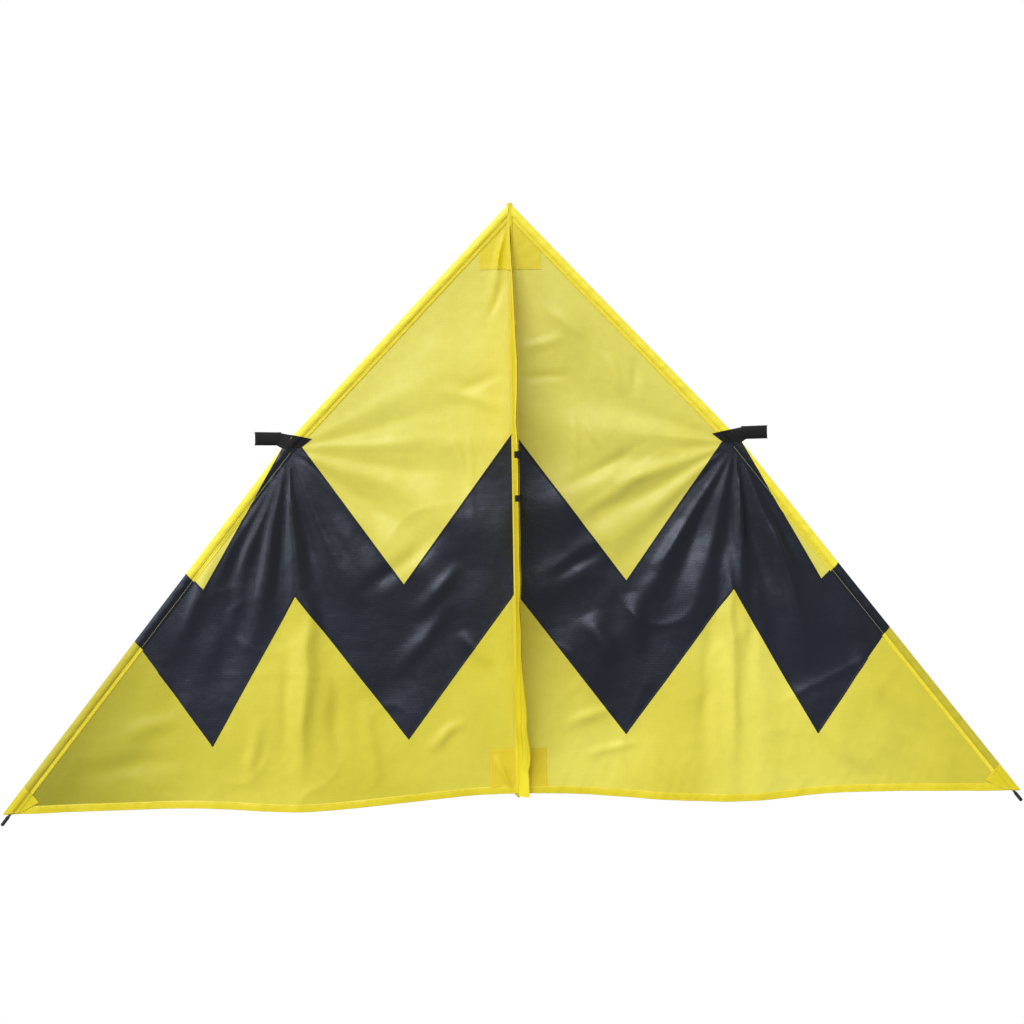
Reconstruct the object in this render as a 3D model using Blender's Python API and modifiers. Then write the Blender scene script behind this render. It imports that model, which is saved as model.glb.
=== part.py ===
"""Delta kite lying on its back, keel up.

Metres, +Z up. +X is the span, +Y points to the nose and the origin is under the
middle of the kite, on the surface that it lies on. Places on the sail are given as
(x, depth): x from the spine, depth from the tip of the nose towards the tail.
"""
import math

import bpy
from mathutils import Matrix, Vector

# ---- sail outline, (x, depth) on the right-hand side -------------------------------
BEND_X, BEND_DEPTH = 0.444, 0.467          # where the leading edge bends at the spreader
WING_TIP_X, WING_TIP_DEPTH = 0.988, 1.163
TAIL_DEPTH = 1.146                         # trailing edge at the spine
SCALLOP_X, SCALLOP_DEPTH = 0.430, 1.171    # lowest place of the trailing edge
WAIST_X, WAIST_DEPTH = 0.650, 1.159        # shallow waist between scallop and wing tip

# ---- the dark zigzag band, (x, depth) ----------------------------------------------
UPPER_CENTRE_DEPTH, LOWER_CENTRE_DEPTH = 0.446, 0.755
UPPER_VALLEY, LOWER_VALLEY = (0.216, 0.738), (0.211, 1.035)
PEAK_INSET = 0.009                         # the upper peak, in from the leading edge's bend
LOWER_PEAK = (0.425, 0.755)
UPPER_OUTER_VALLEY, LOWER_OUTER_VALLEY = (0.599, 0.741), (0.587, 1.041)
UPPER_EDGE_DEPTH, LOWER_EDGE_DEPTH = 0.708, 0.836     # where the band meets the leading edge

# ---- cloth --------------------------------------------------------------------------
CLOTH = 0.0005                 # one layer, with its coating and seams
HEM_CLOTH = 0.0010             # folded double
TAPE = 0.0012                  # woven webbing
SEAM_GAP = 0.0003              # between neighbouring pieces
HEM_WIDTH = 0.015
SLEEVE_WIDTH = 0.023           # leading edge sleeve
SPINE_SLEEVE_WIDTH = 0.0154
SLEEVE_WALL = 0.0008
SLEEVE_EDGE = 0.0030           # thickness of the leading edge sleeve at its two sides

# ---- rods ---------------------------------------------------------------------------
SPAR_DIAMETER = 0.005
SPINE_DIAMETER = 0.005
SPREADER_DIAMETER = 0.006
FERRULE_WALL = 0.0007
ROD_CLEARANCE = 0.0003         # rod in a ferrule or a cap, on each side
FERRULE_CLEARANCE = 0.0003     # ferrule in a sleeve, on each side
FERRULE_LENGTH = 0.060
CAP_WALL = 0.0007
CAP_LENGTH = 0.016
CAP_END = 0.003                # solid end of a cap
CAP_ROUND = 0.35               # rounding of a cap's end, as a share of its radius
NOSE_KNOB_DIAMETER = 0.0084
SPAR_NOSE_X = 0.0165           # inner corner of the leading edge sleeve at the nose
TIP_OVERHANG = 0.017           # spar cap past the wing tip
SPAR_JOINT = 0.780             # nose to the ferrule, along the leading edge
SPINE_JOINT_DEPTH = 0.575

# ---- spreader and its pockets ---------------------------------------------------------
SPREADER_DEPTH = 0.4505
POCKET_OFFSET = 0.0207         # leading edge to the pocket's mouth
POCKET_LENGTH = 0.0510
POCKET_WIDTH = 0.0260
POCKET_CLEARANCE = 0.0007      # above and below the rod's cap
POCKET_END = 0.0015
POCKET_HINGE_OFFSET = 0.0117   # leading edge to where the strap folds
POCKET_SLACK = 0.0072          # left for the wings to flex back
PATCH_INNER, PATCH_OUTER = 0.0403, 0.0177   # reach of the sewn strap from the leading edge

# ---- keel -----------------------------------------------------------------------------
KEEL_NOSE_DEPTH = 0.040
KEEL_TAIL_OVERHANG = 0.004     # past the trailing edge
KEEL_HEIGHT = 0.210
UPPER_TOW_DEPTH, LOWER_TOW_DEPTH = 0.499, 0.5765
KEEL_CORNER_NOSE, KEEL_CORNER_TAIL = 0.019, 0.0235    # keel's corners past the tow points
KEEL_HEM_WIDTH = 0.012
TOW_PATCH_HEIGHT = 0.060
HINGE_CLEARANCE = 0.0007       # keel hinge above the spine sleeve
KEEL_FOOT = 0.0010             # keel cloth above its hinge
LOOP_WIDTH, LOOP_HEIGHT, LOOP_TAPE = 0.014, 0.0168, 0.012
LOOP_TOP = 0.008
LOOP_FOOT = 0.0008
ANCHOR_LEG = 0.010

# ---- patches ----------------------------------------------------------------------------
NOSE_PATCH_X, NOSE_PATCH_DEPTH = 0.059, 0.130
TAIL_PATCH_X, TAIL_PATCH_HEIGHT = 0.055, 0.088
TIP_PATCH_LENGTH, TIP_PATCH_INNER = 0.070, 0.042

# ---- worked out from the sizes above ------------------------------------------------------
SPINE_FERRULE = SPINE_DIAMETER + 2 * (ROD_CLEARANCE + FERRULE_WALL)
SPAR_FERRULE = SPAR_DIAMETER + 2 * (ROD_CLEARANCE + FERRULE_WALL)
SPREADER_FERRULE = SPREADER_DIAMETER + 2 * (ROD_CLEARANCE + FERRULE_WALL)
SPAR_CAP = SPAR_DIAMETER + 2 * (ROD_CLEARANCE + CAP_WALL)
SPREADER_CAP = SPREADER_DIAMETER + 2 * (ROD_CLEARANCE + CAP_WALL)
POCKET_BORE = SPREADER_CAP + 2 * POCKET_CLEARANCE
POCKET_HEIGHT = POCKET_BORE + 2 * TAPE
SPREADER_Z = POCKET_HEIGHT / 2
SPINE_SLEEVE_BOTTOM = SPREADER_Z + SPREADER_FERRULE / 2 + SEAM_GAP
SPINE_BORE = SPINE_FERRULE + 2 * FERRULE_CLEARANCE
SPINE_SLEEVE_TOP = SPINE_SLEEVE_BOTTOM + SPINE_BORE + 2 * SLEEVE_WALL
SPINE_Z = (SPINE_SLEEVE_BOTTOM + SPINE_SLEEVE_TOP) / 2
SAIL_Z = SPINE_SLEEVE_TOP - CLOTH / 2
SPAR_BORE = SPAR_FERRULE + 2 * FERRULE_CLEARANCE
SLEEVE_HEIGHT = SPAR_BORE + 2 * SLEEVE_WALL
WING_HINGE_X = SPINE_SLEEVE_WIDTH / 2 + SEAM_GAP
SEAM_X = WING_HINGE_X + SEAM_GAP / 2
PATCH_Z = SAIL_Z + CLOTH / 2 + SEAM_GAP + CLOTH / 2
STRAP_Z = SAIL_Z + SLEEVE_HEIGHT / 2 + SEAM_GAP + TAPE / 2
KEEL_HINGE_Z = SPINE_SLEEVE_TOP + HINGE_CLEARANCE
KEEL_EDGE_Z = KEEL_HINGE_Z + KEEL_HEIGHT
ANCHOR_TOP_Z = KEEL_EDGE_Z + SEAM_GAP + TAPE
LOOP_HINGE_Z = ANCHOR_TOP_Z + SEAM_GAP + LOOP_FOOT
EDGE_X = BEND_X * SPREADER_DEPTH / BEND_DEPTH            # leading edge at the spreader
POCKET_INNER_X = EDGE_X + POCKET_OFFSET
POCKET_OUTER_X = POCKET_INNER_X + POCKET_LENGTH
POCKET_HINGE_X = EDGE_X + POCKET_HINGE_OFFSET
PATCH_INNER_X, PATCH_OUTER_X = EDGE_X - PATCH_INNER, EDGE_X + PATCH_OUTER
SPREADER_END_X = POCKET_OUTER_X - POCKET_END - POCKET_SLACK
UPPER_PEAK = (BEND_X - PEAK_INSET, BEND_DEPTH)
KEEL_TAIL_DEPTH = TAIL_DEPTH + KEEL_TAIL_OVERHANG
KEEL_TOP = (UPPER_TOW_DEPTH - KEEL_CORNER_NOSE, LOWER_TOW_DEPTH + KEEL_CORNER_TAIL)
TOW_DEPTHS = {"upper": UPPER_TOW_DEPTH, "lower": LOWER_TOW_DEPTH}
TOW_NAMES = ("upper", "lower")
SIDES = (("left", -1), ("right", 1))


def line(start, end, inset=0.0):
    """A line on the sail, moved sideways by inset towards the spine and the tail."""
    a, b = Vector(start), Vector(end)
    along = (b - a).normalized()
    side = Vector((-along.y, along.x))
    return a + side * inset, along


def meet(first, second):
    """Where two lines cross."""
    (a, u), (b, v) = first, second
    gap = b - a
    return a + u * ((gap.x * v.y - gap.y * v.x) / (u.x * v.y - u.y * v.x))


NOSE = (0.0, 0.0)
BEND = (BEND_X, BEND_DEPTH)
WING_TIP = (WING_TIP_X, WING_TIP_DEPTH)
UPPER_ALONG = (Vector(BEND) - Vector(NOSE)).normalized()
LOWER_ALONG = (Vector(WING_TIP) - Vector(BEND)).normalized()
UPPER_INNER = line(NOSE, BEND, SLEEVE_WIDTH)
LOWER_INNER = line(BEND, WING_TIP, SLEEVE_WIDTH)
UPPER_AXIS = line(NOSE, BEND, SLEEVE_WIDTH / 2)
LOWER_AXIS = line(BEND, WING_TIP, SLEEVE_WIDTH / 2)
SPAR_BEND = meet(UPPER_AXIS, LOWER_AXIS)
SEAM_LINE = line((SEAM_X, 0.0), (SEAM_X, 1.0))
SPAR_TIP = meet(LOWER_AXIS, (Vector(WING_TIP), Vector((-LOWER_ALONG.y, LOWER_ALONG.x))))
SPAR_END = SPAR_TIP + LOWER_ALONG * TIP_OVERHANG
LENGTH = SPAR_END.y + SPAR_CAP / 2 * (1 - CAP_ROUND) * LOWER_ALONG.x   # nose to spar ends
NOSE_Y = LENGTH / 2


def trailing_depth(x):
    """Depth of the trailing edge: smooth between its four named places."""
    places = ((0.0, TAIL_DEPTH), (SCALLOP_X, SCALLOP_DEPTH),
              (WAIST_X, WAIST_DEPTH), (WING_TIP_X, WING_TIP_DEPTH))
    for (x0, d0), (x1, d1) in zip(places, places[1:]):
        if x <= x1:
            share = 0.5 - 0.5 * math.cos(math.pi * (x - x0) / (x1 - x0))
            return d0 + (d1 - d0) * share
    return WING_TIP_DEPTH


def trailing_end(inset):
    """Where the trailing edge, moved in by inset, meets the leading edge sleeve."""
    x = WING_TIP_X
    for _ in range(30):
        crossing = meet(LOWER_INNER, line((0.0, trailing_depth(x) - inset),
                                          (1.0, trailing_depth(x) - inset)))
        x = crossing.x
    return x


def trailing_curve(inset, steps=28):
    """Points along the trailing edge from the seam out to the sleeve."""
    end = trailing_end(inset)
    xs = [SEAM_X + (end - SEAM_X) * i / steps for i in range(steps + 1)]
    return [Vector((x, trailing_depth(x) - inset)) for x in xs]


def world(x, depth, z):
    return Vector((x, NOSE_Y - depth, z))


def signed_area(points):
    pairs = zip(points, points[1:] + points[:1])
    return sum(a[0] * b[1] - b[0] * a[1] for a, b in pairs) / 2


def counter_clockwise(points):
    points = [Vector(p) for p in points]
    return points if signed_area(points) > 0 else points[::-1]


def shrink(points, distance):
    """The outline moved inwards by distance, with its corners mitred."""
    points = counter_clockwise(points)
    edges = [line(a, b, distance) for a, b in zip(points, points[1:] + points[:1])]
    result = []
    for before, after, corner in zip(edges[-1:] + edges[:-1], edges, points):
        straight = abs(before[1].cross(after[1])) < 1e-5
        result.append(after[0] if straight else meet(before, after))
    return result


def on_sail(points, side):
    """Sail places as flat world coordinates, for one side of the kite."""
    return [(side * p[0], NOSE_Y - p[1]) for p in points]


# ---- objects ------------------------------------------------------------------------------
for old in list(bpy.data.objects):
    bpy.data.objects.remove(old, do_unlink=True)

kite = bpy.data.collections.new("delta_kite")
cutters = bpy.data.collections.new("cutters")
bpy.context.scene.collection.children.link(kite)
bpy.context.scene.collection.children.link(cutters)


def finish(name, colour, roughness, metallic=0.0):
    material = bpy.data.materials.new(name)
    material.use_nodes = True
    shader = material.node_tree.nodes["Principled BSDF"]
    shader.inputs["Base Color"].default_value = (*colour, 1.0)
    shader.inputs["Roughness"].default_value = roughness
    shader.inputs["Metallic"].default_value = metallic
    material.diffuse_color = (*colour, 1.0)
    return material


YELLOW = finish("yellow_ripstop", (0.72, 0.65, 0.08), 0.55)
YELLOW_DOUBLE = finish("yellow_ripstop_double", (0.85, 0.72, 0.03), 0.55)
DARK = finish("dark_ripstop", (0.02, 0.024, 0.035), 0.45)
WEBBING = finish("black_webbing", (0.008, 0.008, 0.010), 0.8)
ROD = finish("fibreglass_rod", (0.03, 0.03, 0.035), 0.35)
FERRULE = finish("aluminium_ferrule", (0.60, 0.61, 0.63), 0.35, 1.0)
CAP = finish("black_vinyl", (0.012, 0.012, 0.014), 0.5)


def empty(name, place, parent=None):
    """A joint's own frame, with no turn; pieces of its body are parented to it."""
    holder = bpy.data.objects.new(name, None)
    holder.empty_display_size = 0.03
    kite.objects.link(holder)
    holder["place"] = list(place)
    holder.parent = parent
    start = Vector(parent["place"]) if parent else Vector()
    holder.location = Vector(place) - start
    return holder


def settle(piece, body, place, turn=None):
    """Parents a piece to its body's frame and puts it at a world place."""
    piece.parent = body
    piece.location = Vector(place) - Vector(body["place"])
    if turn is not None:
        piece.rotation_euler = turn.to_euler()
    return piece


def prism(name, body, material, outlines, place, length, turn=None):
    """A flat outline, with its holes, made length thick across its own plane."""
    curve = bpy.data.curves.new(name, "CURVE")
    curve.dimensions = "2D"
    curve.fill_mode = "BOTH"
    curve.extrude = length / 2
    for outline in outlines:
        points = counter_clockwise(outline)
        spline = curve.splines.new("POLY")
        spline.points.add(len(points) - 1)
        for point, (x, y) in zip(spline.points, points):
            point.co = (x, y, 0.0, 1.0)
        spline.use_cyclic_u = True
    curve.materials.append(material)
    piece = bpy.data.objects.new(name, curve)
    kite.objects.link(piece)
    return settle(piece, body, place, turn)


def sail_piece(name, body, material, outline, side, z=SAIL_Z, thick=CLOTH):
    """A cut of cloth in the plane of the sail, half a seam gap inside its outline."""
    flat = on_sail(shrink(outline, SEAM_GAP / 2), side)
    return prism(name, body, material, [flat], (0.0, 0.0, z), thick)


def facing(direction):
    """A turn that takes local +Z to direction and keeps local +Y upright."""
    z = Vector(direction).normalized()
    x = Vector((0.0, 0.0, 1.0)).cross(z).normalized()
    return Matrix((x, z.cross(x), z)).transposed()


def circle(diameter, sides=16):
    angles = [2 * math.pi * i / sides for i in range(sides)]
    return [(diameter / 2 * math.cos(a), diameter / 2 * math.sin(a)) for a in angles]


def rectangle(width, height):
    x, y = width / 2, height / 2
    return [(-x, -y), (x, -y), (x, y), (-x, y)]


def between(name, body, material, outlines, start, end):
    """A section carried straight from start to end."""
    start, end = Vector(start), Vector(end)
    turn = facing(end - start)
    return prism(name, body, material, outlines, (start + end) / 2, (end - start).length, turn)


def sleeve_section(width, height, edge):
    """A flat cloth tube: full height over the rod, tapering to edge at both sides."""
    x, y, flat = width / 2, height / 2, height * 0.3
    outside = [(-x, -edge / 2), (-flat, -y), (flat, -y), (x, -edge / 2),
               (x, edge / 2), (flat, y), (-flat, y), (-x, edge / 2)]
    return [outside, shrink(outside, SLEEVE_WALL)]


def ferrule(name, body, diameter, rod, middle, along):
    """A tube over the ends of two rods."""
    half = Vector(along).normalized() * FERRULE_LENGTH / 2
    rings = [circle(diameter), circle(rod + 2 * ROD_CLEARANCE)]
    return between(name, body, FERRULE, rings, middle - half, middle + half)


def rod(name, body, diameter, points):
    """A round rod through its points."""
    curve = bpy.data.curves.new(name, "CURVE")
    curve.dimensions = "3D"
    curve.bevel_depth = diameter / 2
    curve.bevel_resolution = 2
    curve.use_fill_caps = True
    spline = curve.splines.new("POLY")
    spline.points.add(len(points) - 1)
    for point, place in zip(spline.points, points):
        point.co = (*(Vector(place) - Vector(points[0])), 1.0)
    curve.materials.append(ROD)
    piece = bpy.data.objects.new(name, curve)
    kite.objects.link(piece)
    return settle(piece, body, points[0])


def end_cap(name, body, diameter, rod_diameter, tip, outwards, length=CAP_LENGTH):
    """A turned cap with a blind bore, which slips over the end of a rod."""
    outer, bore = diameter / 2, rod_diameter / 2 + ROD_CLEARANCE
    round_off = outer * CAP_ROUND
    profile = [(0.0, 0.0), (outer - round_off, 0.0), (outer, -round_off), (outer, -length),
               (bore, -length), (bore, -CAP_END), (0.0, -CAP_END)]
    mesh = bpy.data.meshes.new(name)
    edges = [(i, i + 1) for i in range(len(profile) - 1)]
    mesh.from_pydata([(x, 0.0, z) for x, z in profile], edges, [])
    mesh.materials.append(CAP)
    piece = bpy.data.objects.new(name, mesh)
    kite.objects.link(piece)
    turned = piece.modifiers.new("turned", "SCREW")
    turned.steps = 16
    turned.render_steps = 16
    turned.use_merge_vertices = True
    turned.merge_threshold = 0.00002
    return settle(piece, body, tip, facing(outwards))


def box(name, low, high, collection):
    """A box between two corners, with its scale already in its mesh."""
    low, high = Vector(low), Vector(high)
    bpy.ops.mesh.primitive_cube_add(size=1.0, location=(0.0, 0.0, 0.0))
    piece = bpy.context.object
    piece.name = name
    piece.data.transform(Matrix.Diagonal((*(high - low), 1.0)))
    for owner in list(piece.users_collection):
        owner.objects.unlink(piece)
    collection.objects.link(piece)
    piece.location = (low + high) / 2
    return piece


# ---- the joints' frames ---------------------------------------------------------------------
spine_body = empty("spine_frame", (0.0, 0.0, 0.0))
spreader_body = empty("spreader_frame", world(0.0, SPREADER_DEPTH, SPREADER_Z), spine_body)
keel_body = empty("keel_hinge", (0.0, 0.0, KEEL_HINGE_Z), spine_body)
wing_bodies = {}
pocket_bodies = {}
for side_name, side in SIDES:
    wing = empty(f"{side_name}_wing_hinge", (side * WING_HINGE_X, 0.0, SAIL_Z), spine_body)
    hinge = world(side * POCKET_HINGE_X, SPREADER_DEPTH, SAIL_Z)
    wing_bodies[side_name] = wing
    pocket_bodies[side_name] = empty(f"{side_name}_pocket_hinge", hinge, wing)
loop_bodies = {}
for name in TOW_NAMES:
    hinge = world(0.0, TOW_DEPTHS[name], LOOP_HINGE_Z)
    loop_bodies[name] = empty(f"{name}_tow_loop_hinge", hinge, keel_body)


# ---- spine ------------------------------------------------------------------------------------
def build_spine():
    """The centre rod in two lengths, in a sleeve sewn along the back of the sail."""
    tail_end = KEEL_TAIL_DEPTH
    sleeve_nose = CAP_LENGTH + SEAM_GAP
    sleeve_tail = tail_end - CAP_LENGTH - SEAM_GAP
    outside = rectangle(SPINE_SLEEVE_WIDTH, SPINE_SLEEVE_TOP - SPINE_SLEEVE_BOTTOM)
    section = [outside, shrink(outside, SLEEVE_WALL)]
    between("spine_sleeve", spine_body, YELLOW_DOUBLE, section,
            world(0.0, sleeve_tail, SPINE_Z), world(0.0, sleeve_nose, SPINE_Z))
    first = CAP_END + SEAM_GAP
    last = tail_end - CAP_END - SEAM_GAP
    half_gap = SEAM_GAP / 2
    rod("spine_rod_upper", spine_body, SPINE_DIAMETER,
        [world(0.0, first, SPINE_Z), world(0.0, SPINE_JOINT_DEPTH - half_gap, SPINE_Z)])
    rod("spine_rod_lower", spine_body, SPINE_DIAMETER,
        [world(0.0, SPINE_JOINT_DEPTH + half_gap, SPINE_Z), world(0.0, last, SPINE_Z)])
    ferrule("spine_ferrule", spine_body, SPINE_FERRULE, SPINE_DIAMETER,
            world(0.0, SPINE_JOINT_DEPTH, SPINE_Z), (0.0, 1.0, 0.0))
    end_cap("spine_nose_cap", spine_body, NOSE_KNOB_DIAMETER, SPINE_DIAMETER,
            world(0.0, 0.0, SPINE_Z), (0.0, 1.0, 0.0))
    end_cap("spine_tail_cap", spine_body, SPAR_CAP, SPINE_DIAMETER,
            world(0.0, tail_end, SPINE_Z), (0.0, -1.0, 0.0))


# ---- wings --------------------------------------------------------------------------------------
def build_panels(side_name, side):
    """The four cuts of cloth of one wing, sewn edge to edge."""
    body = wing_bodies[side_name]
    to_peak = line(UPPER_PEAK, UPPER_VALLEY)
    to_outer = line(UPPER_PEAK, UPPER_OUTER_VALLEY)
    upper_edge = edge_place(UPPER_EDGE_DEPTH)
    lower_edge = edge_place(LOWER_EDGE_DEPTH)
    top = meet(SEAM_LINE, UPPER_INNER)
    band_top = meet(to_peak, UPPER_INNER)
    bend = meet(UPPER_INNER, LOWER_INNER)
    outer_top = meet(to_outer, LOWER_INNER)
    upper_end = meet(line(UPPER_OUTER_VALLEY, upper_edge), LOWER_INNER)
    lower_end = meet(line(LOWER_OUTER_VALLEY, lower_edge), LOWER_INNER)
    upper_seam = meet(line((0.0, UPPER_CENTRE_DEPTH), UPPER_VALLEY), SEAM_LINE)
    lower_seam = meet(line((0.0, LOWER_CENTRE_DEPTH), LOWER_VALLEY), SEAM_LINE)
    sail_piece(f"{side_name}_nose_panel", body, YELLOW,
               [top, band_top, UPPER_VALLEY, upper_seam], side)
    sail_piece(f"{side_name}_shoulder_panel", body, YELLOW,
               [outer_top, upper_end, UPPER_OUTER_VALLEY], side)
    sail_piece(f"{side_name}_zigzag_panel", body, DARK,
               [band_top, bend, outer_top, UPPER_OUTER_VALLEY, upper_end, lower_end,
                LOWER_OUTER_VALLEY, LOWER_PEAK, LOWER_VALLEY, lower_seam, upper_seam,
                UPPER_VALLEY], side)
    sail_piece(f"{side_name}_tail_panel", body, YELLOW,
               [lower_seam, LOWER_VALLEY, LOWER_PEAK, LOWER_OUTER_VALLEY, lower_end,
                *reversed(trailing_curve(HEM_WIDTH))], side)
    sail_piece(f"{side_name}_trailing_hem", body, YELLOW_DOUBLE,
               trailing_curve(HEM_WIDTH) + trailing_curve(0.0)[::-1], side, thick=HEM_CLOTH)


def edge_place(depth):
    """The leading edge at a depth past the bend."""
    return Vector(BEND) + LOWER_ALONG * ((depth - BEND_DEPTH) / LOWER_ALONG.y)


def axis_place(depth):
    """The middle of the leading edge sleeve, square in from the edge at a depth."""
    inwards = Vector((-LOWER_ALONG.y, LOWER_ALONG.x))
    return edge_place(depth) + inwards * SLEEVE_WIDTH / 2


def build_sleeves(side_name, side):
    """The leading edge sleeve: one straight run above the bend, three below it."""
    body = wing_bodies[side_name]
    section = sleeve_section(SLEEVE_WIDTH, SLEEVE_HEIGHT, SLEEVE_EDGE)
    half_turn = UPPER_ALONG.angle(LOWER_ALONG) / 2
    mitre = SLEEVE_WIDTH / 2 * math.tan(half_turn) + SEAM_GAP
    half_gap = LOWER_ALONG * SEAM_GAP / 2
    inner_corner = meet(line((SPAR_NOSE_X, 0.0), (SPAR_NOSE_X, 1.0)), UPPER_INNER)
    outwards = Vector((UPPER_ALONG.y, -UPPER_ALONG.x))
    nose_end = inner_corner + outwards * SLEEVE_WIDTH / 2
    tip_corner = Vector((trailing_end(0.0), trailing_depth(trailing_end(0.0))))
    tip_end = tip_corner + Vector((LOWER_ALONG.y, -LOWER_ALONG.x)) * SLEEVE_WIDTH / 2
    upper_edge, lower_edge = axis_place(UPPER_EDGE_DEPTH), axis_place(LOWER_EDGE_DEPTH)
    runs = (
        ("nose_sleeve", YELLOW_DOUBLE, nose_end, SPAR_BEND - UPPER_ALONG * mitre),
        ("shoulder_sleeve", YELLOW_DOUBLE, SPAR_BEND + LOWER_ALONG * mitre,
         upper_edge - half_gap),
        ("zigzag_sleeve", DARK, upper_edge + half_gap, lower_edge - half_gap),
        ("tip_sleeve", YELLOW_DOUBLE, lower_edge + half_gap, tip_end),
    )
    for name, material, start, end in runs:
        between(f"{side_name}_{name}", body, material, section,
                world(side * start.x, start.y, SAIL_Z), world(side * end.x, end.y, SAIL_Z))
    return nose_end


def build_spars(side_name, side, sleeve_nose):
    """The leading edge spar in two lengths, free inside its sleeve."""
    body = wing_bodies[side_name]

    def place(point):
        return world(side * point.x, point.y, SAIL_Z)

    nose_tip = sleeve_nose - UPPER_ALONG * (CAP_LENGTH + SEAM_GAP)
    start = nose_tip + UPPER_ALONG * (CAP_END + SEAM_GAP)
    end = SPAR_END - LOWER_ALONG * (CAP_END + SEAM_GAP)
    to_joint = SPAR_JOINT - (SPAR_BEND - meet(UPPER_AXIS, line((0.0, 0.0), (1.0, 0.0)))).length
    joint = SPAR_BEND + LOWER_ALONG * to_joint
    bend_reach = 0.020
    bend_points = []
    for i in range(7):
        share = i / 6
        before = SPAR_BEND - UPPER_ALONG * bend_reach * (1 - share)
        after = SPAR_BEND + LOWER_ALONG * bend_reach * share
        bend_points.append(before.lerp(after, share))
    half_gap = LOWER_ALONG * SEAM_GAP / 2
    rod(f"{side_name}_spar_upper", body, SPAR_DIAMETER,
        [place(start), *(place(p) for p in bend_points), place(joint - half_gap)])
    rod(f"{side_name}_spar_lower", body, SPAR_DIAMETER, [place(joint + half_gap), place(end)])
    along = place(joint + LOWER_ALONG) - place(joint)
    ferrule(f"{side_name}_spar_ferrule", body, SPAR_FERRULE, SPAR_DIAMETER, place(joint), along)
    outwards = place(nose_tip - UPPER_ALONG) - place(nose_tip)
    end_cap(f"{side_name}_spar_nose_cap", body, SPAR_CAP, SPAR_DIAMETER, place(nose_tip), outwards)
    end_cap(f"{side_name}_spar_tip_cap", body, SPAR_CAP, SPAR_DIAMETER, place(SPAR_END), along,
            length=TIP_OVERHANG + CAP_END)


def build_patches(side_name, side):
    """Doubled corners of the sail, and the strap sewn over the leading edge."""
    body = wing_bodies[side_name]
    patch_inner = SEAM_X + SEAM_GAP
    clear = line(NOSE, BEND, SLEEVE_WIDTH + SEAM_GAP)
    inner_top = meet(line((patch_inner, 0.0), (patch_inner, 1.0)), clear)
    outer_top = meet(line((NOSE_PATCH_X, 0.0), (NOSE_PATCH_X, 1.0)), clear)
    sail_piece(f"{side_name}_nose_patch", body, YELLOW_DOUBLE,
               [inner_top, outer_top, (NOSE_PATCH_X, NOSE_PATCH_DEPTH),
                (patch_inner, NOSE_PATCH_DEPTH)], side, PATCH_Z)
    tail_low = trailing_depth(0.0) - HEM_WIDTH - SEAM_GAP
    tail_top = TAIL_DEPTH - TAIL_PATCH_HEIGHT
    sail_piece(f"{side_name}_tail_patch", body, YELLOW_DOUBLE,
               [(patch_inner, tail_top), (TAIL_PATCH_X, tail_top), (TAIL_PATCH_X, tail_low),
                (patch_inner, tail_low)], side, PATCH_Z)
    tip = Vector(WING_TIP)
    on_edge = tip - LOWER_ALONG * TIP_PATCH_LENGTH
    inwards = Vector((-LOWER_ALONG.y, LOWER_ALONG.x))
    inner = on_edge + inwards * TIP_PATCH_INNER + LOWER_ALONG * 0.010
    low_x = inner.x + 0.017
    sail_piece(f"{side_name}_tip_patch", body, YELLOW_DOUBLE,
               [on_edge, tip, (low_x, trailing_depth(low_x)), inner], side, STRAP_Z, CLOTH)
    top = SPREADER_DEPTH - POCKET_WIDTH / 2
    low = SPREADER_DEPTH + POCKET_WIDTH / 2
    lean = 0.006
    sail_piece(f"{side_name}_strap_patch", body, WEBBING,
               [(PATCH_INNER_X, SPREADER_DEPTH + lean / 3), (PATCH_OUTER_X - 0.022, top + lean),
                (PATCH_OUTER_X, top + lean / 2), (PATCH_OUTER_X, low + lean),
                (PATCH_OUTER_X - 0.036, low + lean)], side, STRAP_Z, TAPE)


def build_pocket(side_name, side):
    """The webbing pocket outboard of the leading edge, open towards the spine."""
    body = pocket_bodies[side_name]
    y0 = NOSE_Y - SPREADER_DEPTH
    inner, outer = side * POCKET_INNER_X, side * POCKET_OUTER_X
    half = POCKET_WIDTH / 2
    name = f"{side_name}_spreader_pocket"
    pocket = box(name, (min(inner, outer), y0 - half, 0.0),
                 (max(inner, outer), y0 + half, POCKET_HEIGHT), kite)
    pocket.data.materials.append(WEBBING)
    hollow_end = side * (POCKET_OUTER_X - POCKET_END)
    hollow_start = side * (POCKET_INNER_X - 0.010)
    hollow = box(f"{side_name}_pocket_hollow",
                 (min(hollow_start, hollow_end), y0 - half + TAPE, TAPE),
                 (max(hollow_start, hollow_end), y0 + half - TAPE, POCKET_HEIGHT - TAPE), cutters)
    hollow.hide_render = True
    hollow.display_type = "WIRE"
    cut = pocket.modifiers.new("hollow", "BOOLEAN")
    cut.operation = "DIFFERENCE"
    cut.solver = "EXACT"
    cut.object = hollow
    middle = pocket.location.copy()
    settle(pocket, body, middle)


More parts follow.
